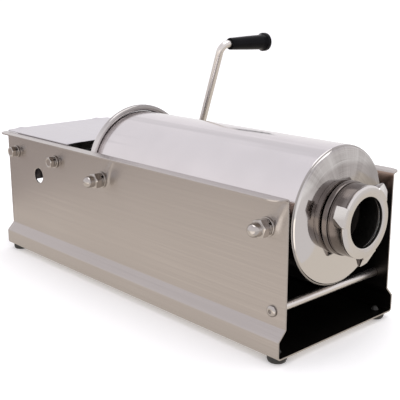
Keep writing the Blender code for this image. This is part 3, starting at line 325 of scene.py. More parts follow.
def disc_look_with_painted_reflection():
    """Polished end with fine turning lines; its soft radial streaks, darker upper part and darker rim are
    painted reflection and shade, set in its colour by angle around the axis.
    """
    colour = (0.70, 0.675, 0.66)
    look = polished_look("disc_polished", colour, 0.05, (200, 60, 60), 0.04)
    angle, radius = around_cylinder(look)

    def pattern(first, first_scale, second, second_scale, detail, rough):
        """Noise over two values, each with its own number of spots per unit."""
        x, y = look.math("MULTIPLY", first, first_scale), look.math("MULTIPLY", second, second_scale)
        return look.noise(look.add("ShaderNodeCombineXYZ", X=x, Y=y).outputs["Vector"], detail, rough)

    def sector(middle, low, high):
        """1 around an angle, falling to 0 away from it."""
        return look.ramp(look.math("COSINE", look.math("SUBTRACT", angle, middle), 0.0), low, high, 0.0, 1.0)

    # painted reflection: wide and narrow radial streaks, kept to the upper part of the disc
    wide = look.ramp(pattern(angle, 3.0, radius, 9.0, 3.0, 0.6), 0.35, 0.62, 0.45, 0.85)
    narrow = look.ramp(pattern(angle, 16.0, radius, 9.0, 3.0, 0.6), 0.35, 0.65, -0.08, 0.12)
    upper = look.math("MULTIPLY", look.math("ADD", wide, narrow), sector(1.4, 0.25, 0.55))
    # painted reflection: a dark sector towards the far upper side
    depth = look.math("MAXIMUM", upper, sector(0.45, 0.55, 0.98))
    # painted shade: the rim is darkened to hold down the highlight on its shoulder
    depth = look.math("MAXIMUM", depth, look.ramp(radius, 0.0694, 0.0700, 0.0, 1.0))
    shade = look.mix(depth, colour, (0.29, 0.268, 0.255))
    turning = look.ramp(pattern(radius, 2600.0, angle, 1.5, 2.0, 0.5), 0.3, 0.7, 0.0, 0.5)
    look.set("Base Color", look.mix(turning, shade, scaled(colour, 0.97)))
    return look


def moulded_look(name, colour, roughness, blotches, window, colours, dull_window, dullness, pores, bump):
    """Plastic or rubber, with soft blotches in its colour and shine, and fine pores."""
    look = Look(name, colour, 0.0, roughness)
    cloud = look.grain(*blotches)
    look.set("Base Color", look.mix(look.ramp(cloud, *window, 0.0, 1.0), *colours))
    look.set("Roughness", look.ramp(cloud, *dull_window, *dullness))
    look.bump(look.grain(*pores), *bump)
    return look


def make_materials():
    looks = {}
    panel = brushed_look(
        "sheet_brushed", (0.485, 0.450, 0.430), 0.24, (3, 600, 600), 0.012, 0.02, (0.50, 0.465, 0.446)
    )
    panel.set("Anisotropic", 0.85)
    tangent = panel.add("ShaderNodeTangent")
    tangent.direction_type = "RADIAL"
    tangent.axis = "X"
    panel.set("Tangent", tangent.outputs["Tangent"])
    looks["sheet"] = panel

    # painted shade: the channel's inner face is nearly black for the shade inside it, with painted light
    # towards its top, a warmer, lighter band
    inside = brushed_look(
        "sheet_inside", (0.045, 0.041, 0.038), 0.3, (10, 900, 900), 0.2, 0.1, (0.055, 0.049, 0.045)
    )
    height = inside.add("ShaderNodeSeparateXYZ", Vector=inside.place).outputs["Z"]
    low, high = ((CHANNEL_HEIGHT - ORIGIN.z - below) * MM for below in (26, 4))
    inside.recolour(inside.ramp(height, low, high, 0.0, 1.0), (0.34, 0.255, 0.205))
    looks["inside"] = inside

    looks["cover"] = brushed_look(
        "cover_satin", (0.62, 0.60, 0.625), 0.26, (9, 1100, 900), 0.08, 0.05, (0.64, 0.62, 0.65)
    )
    looks["tube"] = polished_look(
        "tube_polished", (0.70, 0.67, 0.675), 0.13, (5, 420, 420), 0.06, (1.3, 55, 55)
    )
    looks["disc"] = disc_look_with_painted_reflection()
    # painted light and shade: the bead is dark on top and on the far side, and painted lighter on its near side
    # by angle around the axis
    bead = polished_look("bead_polished", (0.32, 0.302, 0.293), 0.16, (300, 300, 300), 0.1)
    angle, _ = around_cylinder(bead)
    bead.recolour(bead.ramp(angle, 1.9, 2.6, 0.0, 1.0), (0.66, 0.63, 0.62))
    looks["bead"] = bead
    # turned is faced's steel darkened, partly for its turned finish and mostly as painted shade; on the ring
    # nut, faces toward the front take faced
    for key, name, colour, roughness, stretch, depth in (
        ("turned", "turned_polished", (0.21, 0.186, 0.175), 0.12, (900, 30, 30), 0.08),
        ("faced", "faced_polished", (0.69, 0.665, 0.645), 0.16, (30, 900, 900), 0.15),
        ("fastener", "fastener_bright", (0.48, 0.45, 0.428), 0.12, (300, 300, 300), 0.05),
        ("crank", "crank_polished", (0.71, 0.678, 0.652), 0.24, (300, 300, 40), 0.03),
    ):
        looks[key] = polished_look(name, colour, roughness, stretch, depth)
    # painted shade: bores and the cylinder's inner face take this near-black steel for the shade inside them
    looks["bore"] = brushed_look(
        "bore_honed", (0.15, 0.143, 0.138), 0.25, (700, 20, 20), 0.2, 0.1, (0.17, 0.162, 0.156)
    )

    cut_steel = brushed_look(
        "steel_machined", (0.42, 0.415, 0.41), 0.3, (240, 900, 240), 0.45, 0.16, (0.46, 0.45, 0.44), 0.86
    )
    grease = cut_steel.grain((90, 90, 90), 4.0, 0.6)
    cut_steel.set("Coat Weight", cut_steel.ramp(grease, 0.45, 0.6, 0.0, 0.5))
    cut_steel.set("Coat Roughness", 0.12)
    looks["machined"] = cut_steel
    looks["bronze"] = brushed_look(
        "bronze_turned", (0.52, 0.34, 0.17), 0.28, (500, 60, 500), 0.4, 0.14, (0.46, 0.29, 0.15), 0.86
    )

    grip = moulded_look(
        "grip_moulded", (0.005, 0.005, 0.006), 0.16, ((60, 25, 60), 3.0, 0.5), (0.4, 0.65),
        ((0.002, 0.002, 0.003), (0.004, 0.004, 0.005)), (0.35, 0.7), (0.10, 0.2),
        ((900, 900, 900), 3.0, 0.6), (0.05, 0.00008),
    )
    grip.set("Specular IOR Level", 0.08)
    looks["grip"] = grip
    looks["rubber"] = moulded_look(
        "rubber_black", (0.018, 0.018, 0.018), 0.6, ((120, 120, 260), 4.0, 0.6), (0.45, 0.7),
        ((0.014, 0.014, 0.014), (0.045, 0.043, 0.04)), (0.4, 0.7), (0.5, 0.8),
        ((1500, 1500, 1500), 2.0, 0.5), (0.4, 0.0001),
    )
    silicone = moulded_look(
        "silicone_white", (0.72, 0.71, 0.67), 0.45, ((50, 50, 50), 3.0, 0.5), (0.4, 0.6),
        ((0.74, 0.73, 0.70), (0.66, 0.64, 0.59)), (0.35, 0.7), (0.38, 0.55),
        ((1200, 1200, 1200), 2.0, 0.5), (0.2, 0.0001),
    )
    silicone.set("Subsurface Weight", 0.15)
    silicone.set("Subsurface Radius", (0.004, 0.003, 0.002))
    silicone.set("Subsurface Scale", 1.0)
    looks["silicone"] = silicone
    return {key: look.material for key, look in looks.items()}


# ---- mesh helpers ----

SUFFIX = "_look"  # what a piece's name adds to the name of its CAD node


def along(axis, a, u, v):
    """A point from its place along an axis and its two places across it."""
    point = [0.0, 0.0, 0.0]
    order = AXES[axis]
    point[order[0]] = a
    point[order[1]] = u
    point[order[2]] = v
    return Vector(point)


def around(axis, a, radius, angle):
    """A point from its place along an axis, its distance from it and its angle around it."""
    return along(axis, a, radius * math.cos(angle), radius * math.sin(angle))


def rounded(corners, steps=4, closed=True):
    """A polyline whose corners (a, r, radius) are turned into arcs."""
    points = []
    count = len(corners)
    for k, (a, r, radius) in enumerate(corners):
        corner = Vector((a, r))
        is_end = not closed and k in (0, count - 1)
        if radius == 0 or is_end:
            points.append((a, r))
            continue
        back = (Vector(corners[k - 1][:2]) - corner).normalized()
        ahead = (Vector(corners[(k + 1) % count][:2]) - corner).normalized()
        half = back.angle(ahead) / 2
        middle = corner + (back + ahead).normalized() * radius / math.sin(half)
        first = corner + back * radius / math.tan(half) - middle
        last = corner + ahead * radius / math.tan(half) - middle
        total = first.angle(last)
        for s in range(steps + 1):
            share = s / steps
            spoke = first * math.sin((1 - share) * total) + last * math.sin(share * total)
            points.append(tuple(middle + spoke / math.sin(total)))
    return points


def lathe(bm, outline, axis, centre, segments, closed=True):
    """Turn an outline of (place along the axis, radius) points around an axis through centre.

    A point may also be a function that gives its place and radius at an angle.
    """
    middle = Vector(centre)
    rings = []
    for spot in outline:
        if not callable(spot) and spot[1] <= 1e-6:
            rings.append([bm.verts.new(middle + along(axis, spot[0], 0, 0))])
            continue
        ring = []
        for k in range(segments):
            angle = 2 * math.pi * k / segments
            a, radius = spot(angle) if callable(spot) else spot
            ring.append(bm.verts.new(middle + around(axis, a, radius, angle)))
        rings.append(ring)
    for first, second in zip(rings, rings[1:] + rings[:1] if closed else rings[1:]):
        join_rings(bm, first, second)
    return rings


def join_rings(bm, first, second):
    count = max(len(first), len(second))
    for k in range(count):
        n = (k + 1) % count
        if len(first) == 1:
            bm.faces.new((first[0], second[k], second[n]))
        elif len(second) == 1:
            bm.faces.new((first[k], first[n], second[0]))
        else:
            bm.faces.new((first[k], first[n], second[n], second[k]))


def skin(bm, rings):
    """Join a row of rings and close both ends."""
    for first, second in zip(rings, rings[1:]):
        join_rings(bm, first, second)
    bm.faces.new(rings[0])
    bm.faces.new(rings[-1])


def prism(bm, outline, axis, start, end):
    """Extrude an outline of (u, v) points along an axis."""
    low = [bm.verts.new(along(axis, start, u, v)) for u, v in outline]
    high = [bm.verts.new(along(axis, end, u, v)) for u, v in outline]
    bm.faces.new(low)
    bm.faces.new(high)
    for k in range(len(outline)):
        n = (k + 1) % len(outline)
        bm.faces.new((low[k], low[n], high[n], high[k]))


def arc(centre, radius, start, end, steps):
    """Points on an arc in the outline plane, angles in degrees."""
    points = []
    for k in range(steps + 1):
        angle = math.radians(start + (end - start) * k / steps)
        points.append((centre[0] + radius * math.cos(angle), centre[1] + radius * math.sin(angle)))
    return points


def new_object(node, build):
    """A piece in drawing coordinates, named after its CAD node, with its mesh made by build(bm)."""
    bm = bmesh.new()
    build(bm)
    bmesh.ops.recalc_face_normals(bm, faces=bm.faces[:])
    mesh = bpy.data.meshes.new(node + SUFFIX)
    bm.to_mesh(mesh)
    bm.free()
    item = bpy.data.objects.new(node + SUFFIX, mesh)
    bpy.context.scene.collection.objects.link(item)
    return item


def apply_modifiers(item):
    bpy.context.view_layer.update()
    done = item.evaluated_get(bpy.context.evaluated_depsgraph_get())
    mesh = bpy.data.meshes.new_from_object(done)
    old = item.data
    item.modifiers.clear()
    item.data = mesh
    bpy.data.meshes.remove(old)


def combine(item, build, operation="DIFFERENCE"):
    """Apply one exact Boolean with the solid made by build(bm)."""
    tool = new_object("tool", build)
    modifier = item.modifiers.new("combine", "BOOLEAN")
    modifier.operation = operation
    modifier.solver = "EXACT"
    modifier.object = tool
    apply_modifiers(item)
    bpy.data.objects.remove(tool)


def soften(item, width, angle=40.0, segments=2):
    """Round the sharp edges."""
    modifier = item.modifiers.new("soften", "BEVEL")
    modifier.width = width
    modifier.segments = segments
    modifier.limit_method = "ANGLE"
    modifier.angle_limit = math.radians(angle)
    apply_modifiers(item)


def finish_piece(item, body, material, sharp=38.0, choose=None):
    """Move a piece to the frame, shade it, and let it ride on its body in place of a CAD node.

    With a list of materials, choose(centre, normal) gives each face the number of its own.
    """
    node = item.name.removesuffix(SUFFIX)
    item.data.materials.clear()
    for each in material if choose else [material]:
        item.data.materials.append(each)
    if choose:
        for face in item.data.polygons:
            face.material_index = choose(face.center, face.normal)
    for vertex in item.data.vertices:
        vertex.co = (vertex.co - ORIGIN) * MM
    item.data.shade_smooth()
    item.data.set_sharp_from_angle(angle=math.radians(sharp))
    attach(item, body)
    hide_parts(node)


def turned(
    node, body, material, corners, axis, centre, segments=MEDIUM, steps=3, closed=True, sharp=38.0,
    choose=None,
):
    """A round piece from its outline's corners (place, radius, fillet)."""
    outline = rounded(corners, steps, closed)
    item = new_object(node, lambda bm: lathe(bm, outline, axis, centre, segments, closed))
    finish_piece(item, body, material, sharp, choose)


# ---- channel and cover ----


def spaced(start, end, step):
    count = max(1, math.ceil(abs(end - start) / step))
    return [start + (end - start) * k / count for k in range(count + 1)]


def divided(points, step):
    """The same line with more points, none further apart than step."""
    out = [points[0]]
    for first, last in zip(points, points[1:]):
        a, b = Vector(first), Vector(last)
        count = max(1, math.ceil((b - a).length / step))
        out += [tuple(a.lerp(b, k / count)) for k in range(1, count + 1)]
    return out


def sheet_from_grid(name, grid, keep, thickness):
    """A closed sheet of even thickness around a grid of points. keep(i, j) says which cells are there."""

    def build(bm):
        made = [[bm.verts.new(p) for p in line] for line in grid]
        for i in range(len(grid) - 1):
            for j in range(len(grid[0]) - 1):
                if keep(i, j):
                    bm.faces.new((made[i][j], made[i + 1][j], made[i + 1][j + 1], made[i][j + 1]))
        loose = [v for v in bm.verts if not v.link_faces]
        bmesh.ops.delete(bm, geom=loose, context="VERTS")

    item = new_object(name, build)
    modifier = item.modifiers.new("thickness", "SOLIDIFY")
    modifier.thickness = thickness
    modifier.offset = 0.0
    modifier.use_even_offset = True
    apply_modifiers(item)
    return item


def channel_line():
    """The middle of the sheet on the +y side, from the floor's middle to the flange's edge."""
    half = SHEET / 2
    wide = CHANNEL_HALF_WIDTH + FOOT_STEP_OUT - half
    upright = CHANNEL_HALF_WIDTH - half
    top = CHANNEL_HEIGHT - half
    corners = [
        (0.0, half, 0), (wide, half, BEND_RADIUS), (wide, FOOT_STEP_LOW, FOOT_STEP_RADIUS),
        (upright, FOOT_STEP_HIGH, FOOT_STEP_RADIUS),
        (upright, top, BEND_RADIUS), (CHANNEL_HALF_WIDTH + FLANGE_OUT, top, 0),
    ]
    return divided(rounded(corners, 5, closed=False), 2.5)


# a crease runs from beside each stud up to the flange: (distance ahead of the stud, height)
CREASE = ((10.5, 127.0), (12.5, 133.0), (15.5, 141.0), (21.0, 149.5), (24.0, 153.5))


def crease_height(ahead, z):
    """Height of the crease beside a stud, from its distance ahead of the stud and the height z."""
    nearest, share = 99.0, 0.0
    for k, (first, last) in enumerate(zip(CREASE, CREASE[1:])):
        a, b, p = Vector(first), Vector(last), Vector((ahead, z))
        t = fraction((p - a).dot(b - a) / (b - a).length_squared)
        away = (p - a.lerp(b, t)).length
        if away < nearest:
            nearest, share = away, (k + t) / (len(CREASE) - 1)
    return (1.7 - 0.8 * share) * bell(nearest, 4.0 - 1.6 * share)


def fraction(value):
    return min(1.0, max(0.0, value))


def bell(distance, width):
    return math.exp(-((distance / width) ** 2))


def swelling(x, z):
    """How far a side panel stands out: a slight waviness, a swelling at each stud and a crease beside it."""
    out = noise.noise(Vector((x * 0.006, z * 0.012, 3.0))) * 0.25
    for stud_x in STUD_X.values():
        out += 0.45 * bell(math.hypot(x - stud_x, z - STUD_Z), 15.0) + crease_height(x - stud_x, z)
    return out * fraction((z - FOOT_STEP_HIGH) / 25) * fraction((CHANNEL_HEIGHT - 3 - z) / 7)


def plug(bm, start, end, radius, axis, centre):
    """A plain cylinder, to cut a round hole."""
    lathe(bm, [(start, 0), (start, radius), (end, radius), (end, 0)], axis, centre, COARSE, closed=False)


# the channel's grid is closer beside the studs
STATION_STEP = 7.0
SWELLING_STEP = 1.6
SWELLING_BEHIND, SWELLING_AHEAD = 24, 32


def make_channel(looks):
    half_line = channel_line()
    line = [(-y, z) for y, z in reversed(half_line[1:])] + half_line
    stations = set(spaced(0.0, CHANNEL_LENGTH, STATION_STEP))
    for x in STUD_X.values():
        near_stud = spaced(x - SWELLING_BEHIND, x + SWELLING_AHEAD, SWELLING_STEP)
        stations.update(p for p in near_stud if 0 < p < CHANNEL_LENGTH)
    edge = CHANNEL_HALF_WIDTH + FLANGE_OUT
    grid = []
    for station in sorted(stations):
        row = []
        for y, z in line:
            past = max(0.0, abs(y) - (edge - FLANGE_CORNER)) if z > CHANNEL_HEIGHT / 2 else 0.0
            inset = FLANGE_CORNER - math.sqrt(max(0.0, FLANGE_CORNER ** 2 - past ** 2))
            x = inset + (CHANNEL_LENGTH - 2 * inset) * station / CHANNEL_LENGTH
            on_panel = FOOT_STEP_HIGH + 3 < z < CHANNEL_HEIGHT - 3
            out = swelling(x, z) * (1 if y > 0 else -1) if on_panel else 0.0
            row.append(Vector((x, y + out, z)))
        grid.append(row)
    item = sheet_from_grid("body_channel", grid, lambda i, j: True, SHEET)

    def holes(bm):
        round_holes = [(x, BOLT_Z, BOLT_RADIUS + HOLE_CLEARANCE) for x in BOLT_X.values()]
        round_holes += [(x, STUD_Z, STUD_RADIUS + HOLE_CLEARANCE) for x in STUD_X.values()]
        round_holes.append((TIE_X, TIE_Z, TIE_SCREW_RADIUS + HOLE_CLEARANCE))
        round_holes.append((PINION_X, SHAFT_Z, ACCESS_HOLE_RADIUS))
        for side in SIDES.values():
            start, end = sorted((side * (PANEL_INSIDE - 6), side * (CHANNEL_HALF_WIDTH + 6)))
            for x, z, radius in round_holes:
                plug(bm, start, end, radius, "Y", (x, 0, z))
        plug(bm, start, end, ACCESS_HOLE_RADIUS, "Y", (CRANK_X, 0, SHAFT_Z))  # in the far panel only
        for x in FOOT_X.values():
            for y in (-FOOT_Y, FOOT_Y):
                plug(bm, -4, 6, FOOT_STEM_RADIUS + HOLE_CLEARANCE, "Z", (x, y, 0))

    # inner faces take the inside look, which is painted shade
    def is_inside(middle, normal):
        wall = CHANNEL_HALF_WIDTH + FOOT_STEP_OUT - 0.5
        in_walls = abs(middle.y) < wall and middle.z < CHANNEL_HEIGHT - 1.6
        on_floor = middle.z < FOOT_STEP_LOW and normal.z > 0.5
        return int(in_walls and (on_floor or normal.y * middle.y < -0.25 * abs(middle.y)))

    combine(item, holes)
    soften(item, 0.28, 55.0)
    finish_piece(item, "frame", [looks["sheet"], looks["inside"]], choose=is_inside)


def make_cover(looks):
    half = SHEET / 2
    top = COVER_UNDERSIDE + half
    bend = BEND_RADIUS - half
    corners = [(COVER_FRONT, top, 0), (COVER_REAR + half, top, bend), (COVER_REAR + half, SKIRT_BOTTOM, 0)]
    profile = rounded(corners, 6, closed=False)
    flat_part = spaced(COVER_FRONT, 8.0, 8.0) + [6.0, 4.0, 2.0, 0.0]
    skirt_part = [SKIRT_BOTTOM, 92.0, 102.0, RACK_SLOT_LOW, 121.0, 131.0, RACK_SLOT_HIGH, 147.0, 152.0]
    line = [(x, top) for x in flat_part] + [p for p in profile[1:-1] if p[0] < 0.0]
    flat_count = len(flat_part)
    line += [(COVER_REAR + half, z) for z in reversed(skirt_part)]
    columns = sorted(set(
        spaced(-COVER_HALF_WIDTH, COVER_HALF_WIDTH, 6.0) + [-82.5, 82.5, -SKIRT_HALF_WIDTH, SKIRT_HALF_WIDTH]
        + [-RACK_SLOT_HALF_WIDTH, RACK_SLOT_HALF_WIDTH, -64.0, 64.0, -62.0, 62.0, -59.0, 59.0]
    ))
    corner = 3.0
    grid = []
    for k, (x, z) in enumerate(line):
        row = []
        for y in columns:
            px, pz = x, z
            if k < flat_count:
                past = max(0.0, abs(y) - (COVER_HALF_WIDTH - corner))
                inset = corner - math.sqrt(max(0.0, corner ** 2 - past ** 2))
                px = min(max(x, inset), COVER_FRONT - inset) if inset > 0 else x
                rise = bell(abs(y) - 63.0, 5.0) * bell(max(x, 0.0), 7.0)
                settle = 0.26 * fraction((abs(y) - 74.0) / 8.0)
                pz = z + 1.3 * rise - settle
            row.append(Vector((px, y, pz)))
        grid.append(row)

    def keep(i, j):
        middle_y = (columns[j] + columns[j + 1]) / 2
        if i + 1 < flat_count:
            return True
        if abs(middle_y) > SKIRT_HALF_WIDTH:
            return False
        middle_z = (line[i][1] + line[i + 1][1]) / 2
        return not (abs(middle_y) < RACK_SLOT_HALF_WIDTH and RACK_SLOT_LOW < middle_z < RACK_SLOT_HIGH)

    item = sheet_from_grid("cover_plate", grid, keep, SHEET)
    soften(item, 0.3, 55.0)
    finish_piece(item, "frame", looks["cover"])


# ---- cylinder, outlet and piston ----

CYLINDER_CENTRE = (0, 0, CYLINDER_AXIS_Z)


def dome(radius):
    """How far the cylinder's end stands forward at a radius: a rounded shoulder, then nearly flat."""
    inward = max(0.0, CYLINDER_RADIUS - 1.5 - radius)
    shoulder = math.sin(min(1.0, inward / SHOULDER_WIDTH) * math.pi / 2)
    flat = 1 - (1 - min(1.0, inward / 36.0)) ** 2.6
    return SHOULDER_RISE * shoulder + (DOME_RISE - SHOULDER_RISE) * flat


def make_barrel(looks):
    outer = [(CYLINDER_FRONT + dome(r), r) for r in spaced(CYLINDER_RADIUS - 1.5, DISC_HOLE_RADIUS, 0.8)]
    inner = [(a - CYLINDER_WALL, r) for a, r in reversed(outer)]
    inner[-1] = (CYLINDER_FRONT - CYLINDER_WALL - 0.6, BORE_RADIUS - 0.6)
    edge = arc((CYLINDER_FRONT - 1.5, CYLINDER_RADIUS - 1.5), 1.5, 90, 12, 5)
    outline = [(x, CYLINDER_RADIUS) for x in spaced(CYLINDER_REAR, CYLINDER_FRONT - 2.2, 25.0)]
    outline += edge + outer + inner
    outline += [(x, BORE_RADIUS) for x in spaced(CYLINDER_FRONT - 4.0, CYLINDER_REAR, 25.0)]

    # the front takes the disc look and the inner faces the dark bore look, which is painted shade
    def choose(middle, normal):
        radial = Vector((0, middle.y, middle.z - CYLINDER_AXIS_Z)).normalized()
        if normal.x > 0.15 and middle.x > CYLINDER_FRONT - 2:
            return 1
        return 2 if normal.dot(radial) < -0.5 or normal.x < -0.15 and middle.x > CYLINDER_REAR + 5 else 0

    item = new_object("cylinder_barrel", lambda bm: lathe(bm, outline, "X", CYLINDER_CENTRE, FINE))
    materials = [looks[key] for key in ("tube", "disc", "bore")]
    finish_piece(item, "frame", materials, choose=choose)


def make_bead(looks):
    ring_radius = CYLINDER_RADIUS + GAP + BEAD_TUBE_RADIUS
    outline = [(a, r, 0) for a, r in arc((BEAD_X, ring_radius), BEAD_TUBE_RADIUS, 0, 345, 23)]
    turned(
        "cylinder_bead", "frame", looks["bead"], outline, "X", CYLINDER_CENTRE, FINE,
        sharp=60.0,
    )


def thread(start, way, low, high):
    """Ridges between two radii, as an outline that runs one way (1 or -1) from start."""
    return [
        (start + way * (turn * THREAD_PITCH + step), high if is_high else low)
        for turn in range(THREAD_TURNS) for step, is_high in THREAD_TOOTH
    ]


def from_axis(point):
    """Distance from the cylinder's axis."""
    return math.hypot(point.y, point.z - CYLINDER_AXIS_Z)


def make_outlet(looks):
    """Neck with its collar and thread, and the gasket at its mouth."""
    rear = CYLINDER_FRONT + DOME_RISE - CYLINDER_WALL
    crest, root = THREAD_ROOT + 1.2, THREAD_ROOT - 0.2
    corners = [
        (rear, NECK_BORE, 0), (rear, NECK_TUBE, 0), (COLLAR_REAR, NECK_TUBE, 0),
        (COLLAR_REAR, NECK_COLLAR - 1.6, 0.3), (COLLAR_REAR + 1.0, NECK_COLLAR, 0.6),
        (COLLAR_FRONT, NECK_COLLAR, 0.7), (COLLAR_FRONT, root, 0.2),
    ]
    corners += [(a, r, 0) for a, r in thread(COLLAR_FRONT + 1.0, 1, root, crest)]
    corners += [(THREAD_FRONT, root, 0.4), (THREAD_FRONT, NECK_BORE, 0.6)]
    # the neck takes the darkened turned look and its bore the dark bore look: painted shade
    turned(
        "outlet_neck", "frame", [looks["turned"], looks["bore"]], corners, "X",
        CYLINDER_CENTRE, FINE, choose=lambda middle, normal: int(from_axis(middle) < NECK_BORE + 0.4),
    )
    back = THREAD_FRONT + GAP
    front = NUT_FRONT - NUT_LIP - GAP
    inner, outer = NECK_BORE + 0.4, THREAD_ROOT - 0.8
    ring = [(back, inner, 0.2), (back, outer, 0.3), (front, outer, 0.3), (front, inner, 0.2)]
    turned("nozzle_gasket", "gasket", looks["silicone"], ring, "X", CYLINDER_CENTRE)


def ear_share(angle):
    """How far out on a lug an angle around the ring nut is, from 0 on the barrel to 1 at a tip."""
    for middle in EAR_ANGLES:
        offset = (math.degrees(angle) - middle + 180) % 360 - 180
        steep = (-EAR_TIP_HALF_ANGLE - offset) / EAR_STEEP_SIDE
        sloping = (offset - EAR_TIP_HALF_ANGLE) / EAR_SLOPING_SIDE
        past = max(0.0, steep, sloping)
        if past < 0.999:
            return 1 - past ** 0.85
    return 0.0


def nut_barrel_section():
    """Outside of the ring nut between its lugs, from the rear: (place along the axis, radius)."""
    r, flat = NUT_RADIUS, NUT_FRONT
    return [(EAR_REAR + a, r) for a in (-0.2, 0.2, 0.8, 1.4, 2.2)] + [
        (flat - 3.3, r), (flat - 3.1, r - 0.6), (flat - 2.5, r - 0.6), (flat - 2.3, r),
        (flat - 1.5, r - 0.1), (flat - 0.15, r - 1.5), (flat, r - 2.0),
    ]


def nut_lug_section(share):
    """The same line of points where it runs out over a lug."""
    r, flat = NUT_RADIUS, NUT_FRONT
    reach = r + (EAR_RADIUS - r) * share
    rear = EAR_REAR + EAR_REAR_SLOPE * share
    tip = flat - 0.9 - EAR_SWEEP * share
    edge = 0.12
    return [
        (EAR_REAR - 0.2, r), (EAR_REAR, r + 0.1),
        (rear, reach - 0.4), (rear + edge, reach - edge), (rear + 0.4, reach),
        (tip - 0.4, reach), (tip - edge, reach - edge), (tip, reach - 0.4), (tip + 0.05, reach - 0.5),
        (flat - 0.3, r + 0.3 * share), (flat - 0.05, r - 0.6), (flat, r - 1.2),
    ]


def make_nozzle_nut(looks):
    """Three-lugged ring nut with a grooved barrel, a thread and a lip that holds a stuffing tube."""
    r, flat, rear, hole = NUT_RADIUS, NUT_FRONT, NUT_REAR, NUT_HOLE
    bore = THREAD_ROOT + 0.5
    seat = THREAD_ROOT - 0.2
    inner = [(THREAD_FRONT, seat)] + thread(THREAD_FRONT - 1.0, -1, bore + 0.3, bore + 1.5) + [
        (rear + 0.6, bore), (rear, bore + 0.6), (rear, r - 0.9), (rear + 0.25, r - 0.25), (rear + 0.9, r),
        (rear + 1.7, r), (rear + 1.9, r - 0.45), (rear + 2.5, r - 0.45), (rear + 2.7, r),
    ]
    lip = [
        (flat, hole + 1.0), (flat - 0.25, hole + 0.25), (flat - 0.9, hole), (flat - NUT_LIP + 0.4, hole),
        (flat - NUT_LIP, hole + 0.4), (flat - NUT_LIP, seat),
    ]

    def outline(angle):
        share = ear_share(angle)
        return inner + (nut_lug_section(share) if share > 0 else nut_barrel_section()) + lip

    # painted shade: the hole takes the dark bore look and the barrel the darkened turned look; front faces take
    # the bright faced look
    def choose(middle, normal):
        if from_axis(middle) < NUT_HOLE + 0.15:
            return 2
        return int(normal.x > 0.45 and middle.x > EAR_REAR + 3)

    rings = [lambda angle, k=k: outline(angle)[k] for k in range(len(outline(0.0)))]
    item = new_object("nozzle_nut", lambda bm: lathe(bm, rings, "X", CYLINDER_CENTRE, FINE * 2))
    materials = [looks[key] for key in ("turned", "faced", "bore")]
    finish_piece(item, "ring_nut", materials, 30.0, choose)


def make_piston(looks):
    groove_back = PISTON_BACK + 7
    groove_front = PISTON_BACK + 15
    edge = PISTON_RADIUS
    corners = [
        (PISTON_BACK, 4.4, 0), (PISTON_BACK, edge, 1.2), (groove_back, edge, 0.3), (groove_back, 64.0, 0.2),
        (groove_front, 64.0, 0.2), (groove_front, edge, 0.3), (PISTON_FACE, edge, 1.6), (PISTON_FACE, 9.4, 0.4),
        (PISTON_FACE - 7, 9.4, 0), (PISTON_FACE - 7, 4.4, 0),
    ]
    # the piston takes the darkened turned look: painted shade
    turned("piston", "piston_rack", looks["turned"], corners, "X", CYLINDER_CENTRE, FINE)
    lip = BORE_RADIUS - GAP
    low = 64.0 + GAP
    back, front = groove_back + GAP, groove_front - GAP
    seal = [(back, low, 0.2), (back, lip, 1.4), (front, lip, 1.4), (front, low, 0.2)]
    turned("piston_seal", "piston_rack", looks["silicone"], seal, "X", CYLINDER_CENTRE, FINE)


# ---- fasteners and feet ----

STACK = CHANNEL_HALF_WIDTH + 3 * GAP + FLAT_WASHER + SPRING_WASHER


def hexagon_reach(angle, across_flats):
    """Radius of a hexagon, with its corners at multiples of 60 degrees."""
    return across_flats / 2 / math.cos((angle + math.pi / 6) % (math.pi / 3) - math.pi / 6)


def make_hexagon(node, x, z, side, height, across_flats, twist, chamfer_start, tail, looks):
    """A hexagon with both rims turned to a cone. tail goes on from its rim to the axis."""
    corner = across_flats / math.sqrt(3)
    slope = 1.75
    limits = [(0.0, corner - 1.3)] + [(a, corner - 1.3 + a * slope * 1.3) for a in (0.12, 0.3, 0.5)]
    limits += [(0.9, corner + 1), (height - 1.5, corner + 1)]
    limits += [(height - a, chamfer_start + a * slope) for a in (1.2, 1.0, 0.8, 0.6, 0.4, 0.2, 0.0)]

    def ring(a, limit):
        return lambda angle: (side * (STACK + a), min(hexagon_reach(angle + twist, across_flats), limit))

    outline = [ring(a, limit) for a, limit in limits] + [(side * (STACK + a), r) for a, r in tail]

    def build(bm):
        bm.faces.new(lathe(bm, outline, "Y", (x, 0, z), MEDIUM, closed=False)[0])

    finish_piece(new_object(node, build), "frame", looks["fastener"], 30.0)


def make_acorn(tag, x, side, looks):
    height, flats, radius = ACORN_HEX_HEIGHT, ACORN_ACROSS_FLATS, ACORN_DOME_RADIUS
    tail = [(height + 0.05, radius + 0.35), (height + 0.3, radius + 0.08), (height + 0.8, radius)]
    tail += arc((ACORN_DOME_CENTRE, 0), radius, 90, 0, 14)[:-1] + [(ACORN_DOME_CENTRE + radius, 0.0)]
    make_hexagon(
        f"acorn_nut_{tag}", x, STUD_Z, side, height, flats, math.radians(12), flats / 2 - 0.4, tail, looks
    )


def make_bolt_head(tag, x, side, looks):
    height, flats = HEAD_HEIGHT, HEAD_ACROSS_FLATS
    tail = [
        (height - a, flats / 2 - inward)
        for a, inward in ((0.0, 0.9), (0.05, 1.2), (0.3, 1.6), (0.35, 2.6), (0.35, flats / 2))
    ]
    make_hexagon(
        f"hex_bolt_{tag}", x, BOLT_Z, side, height, flats, math.radians(18), flats / 2 - 0.5, tail, looks
    )


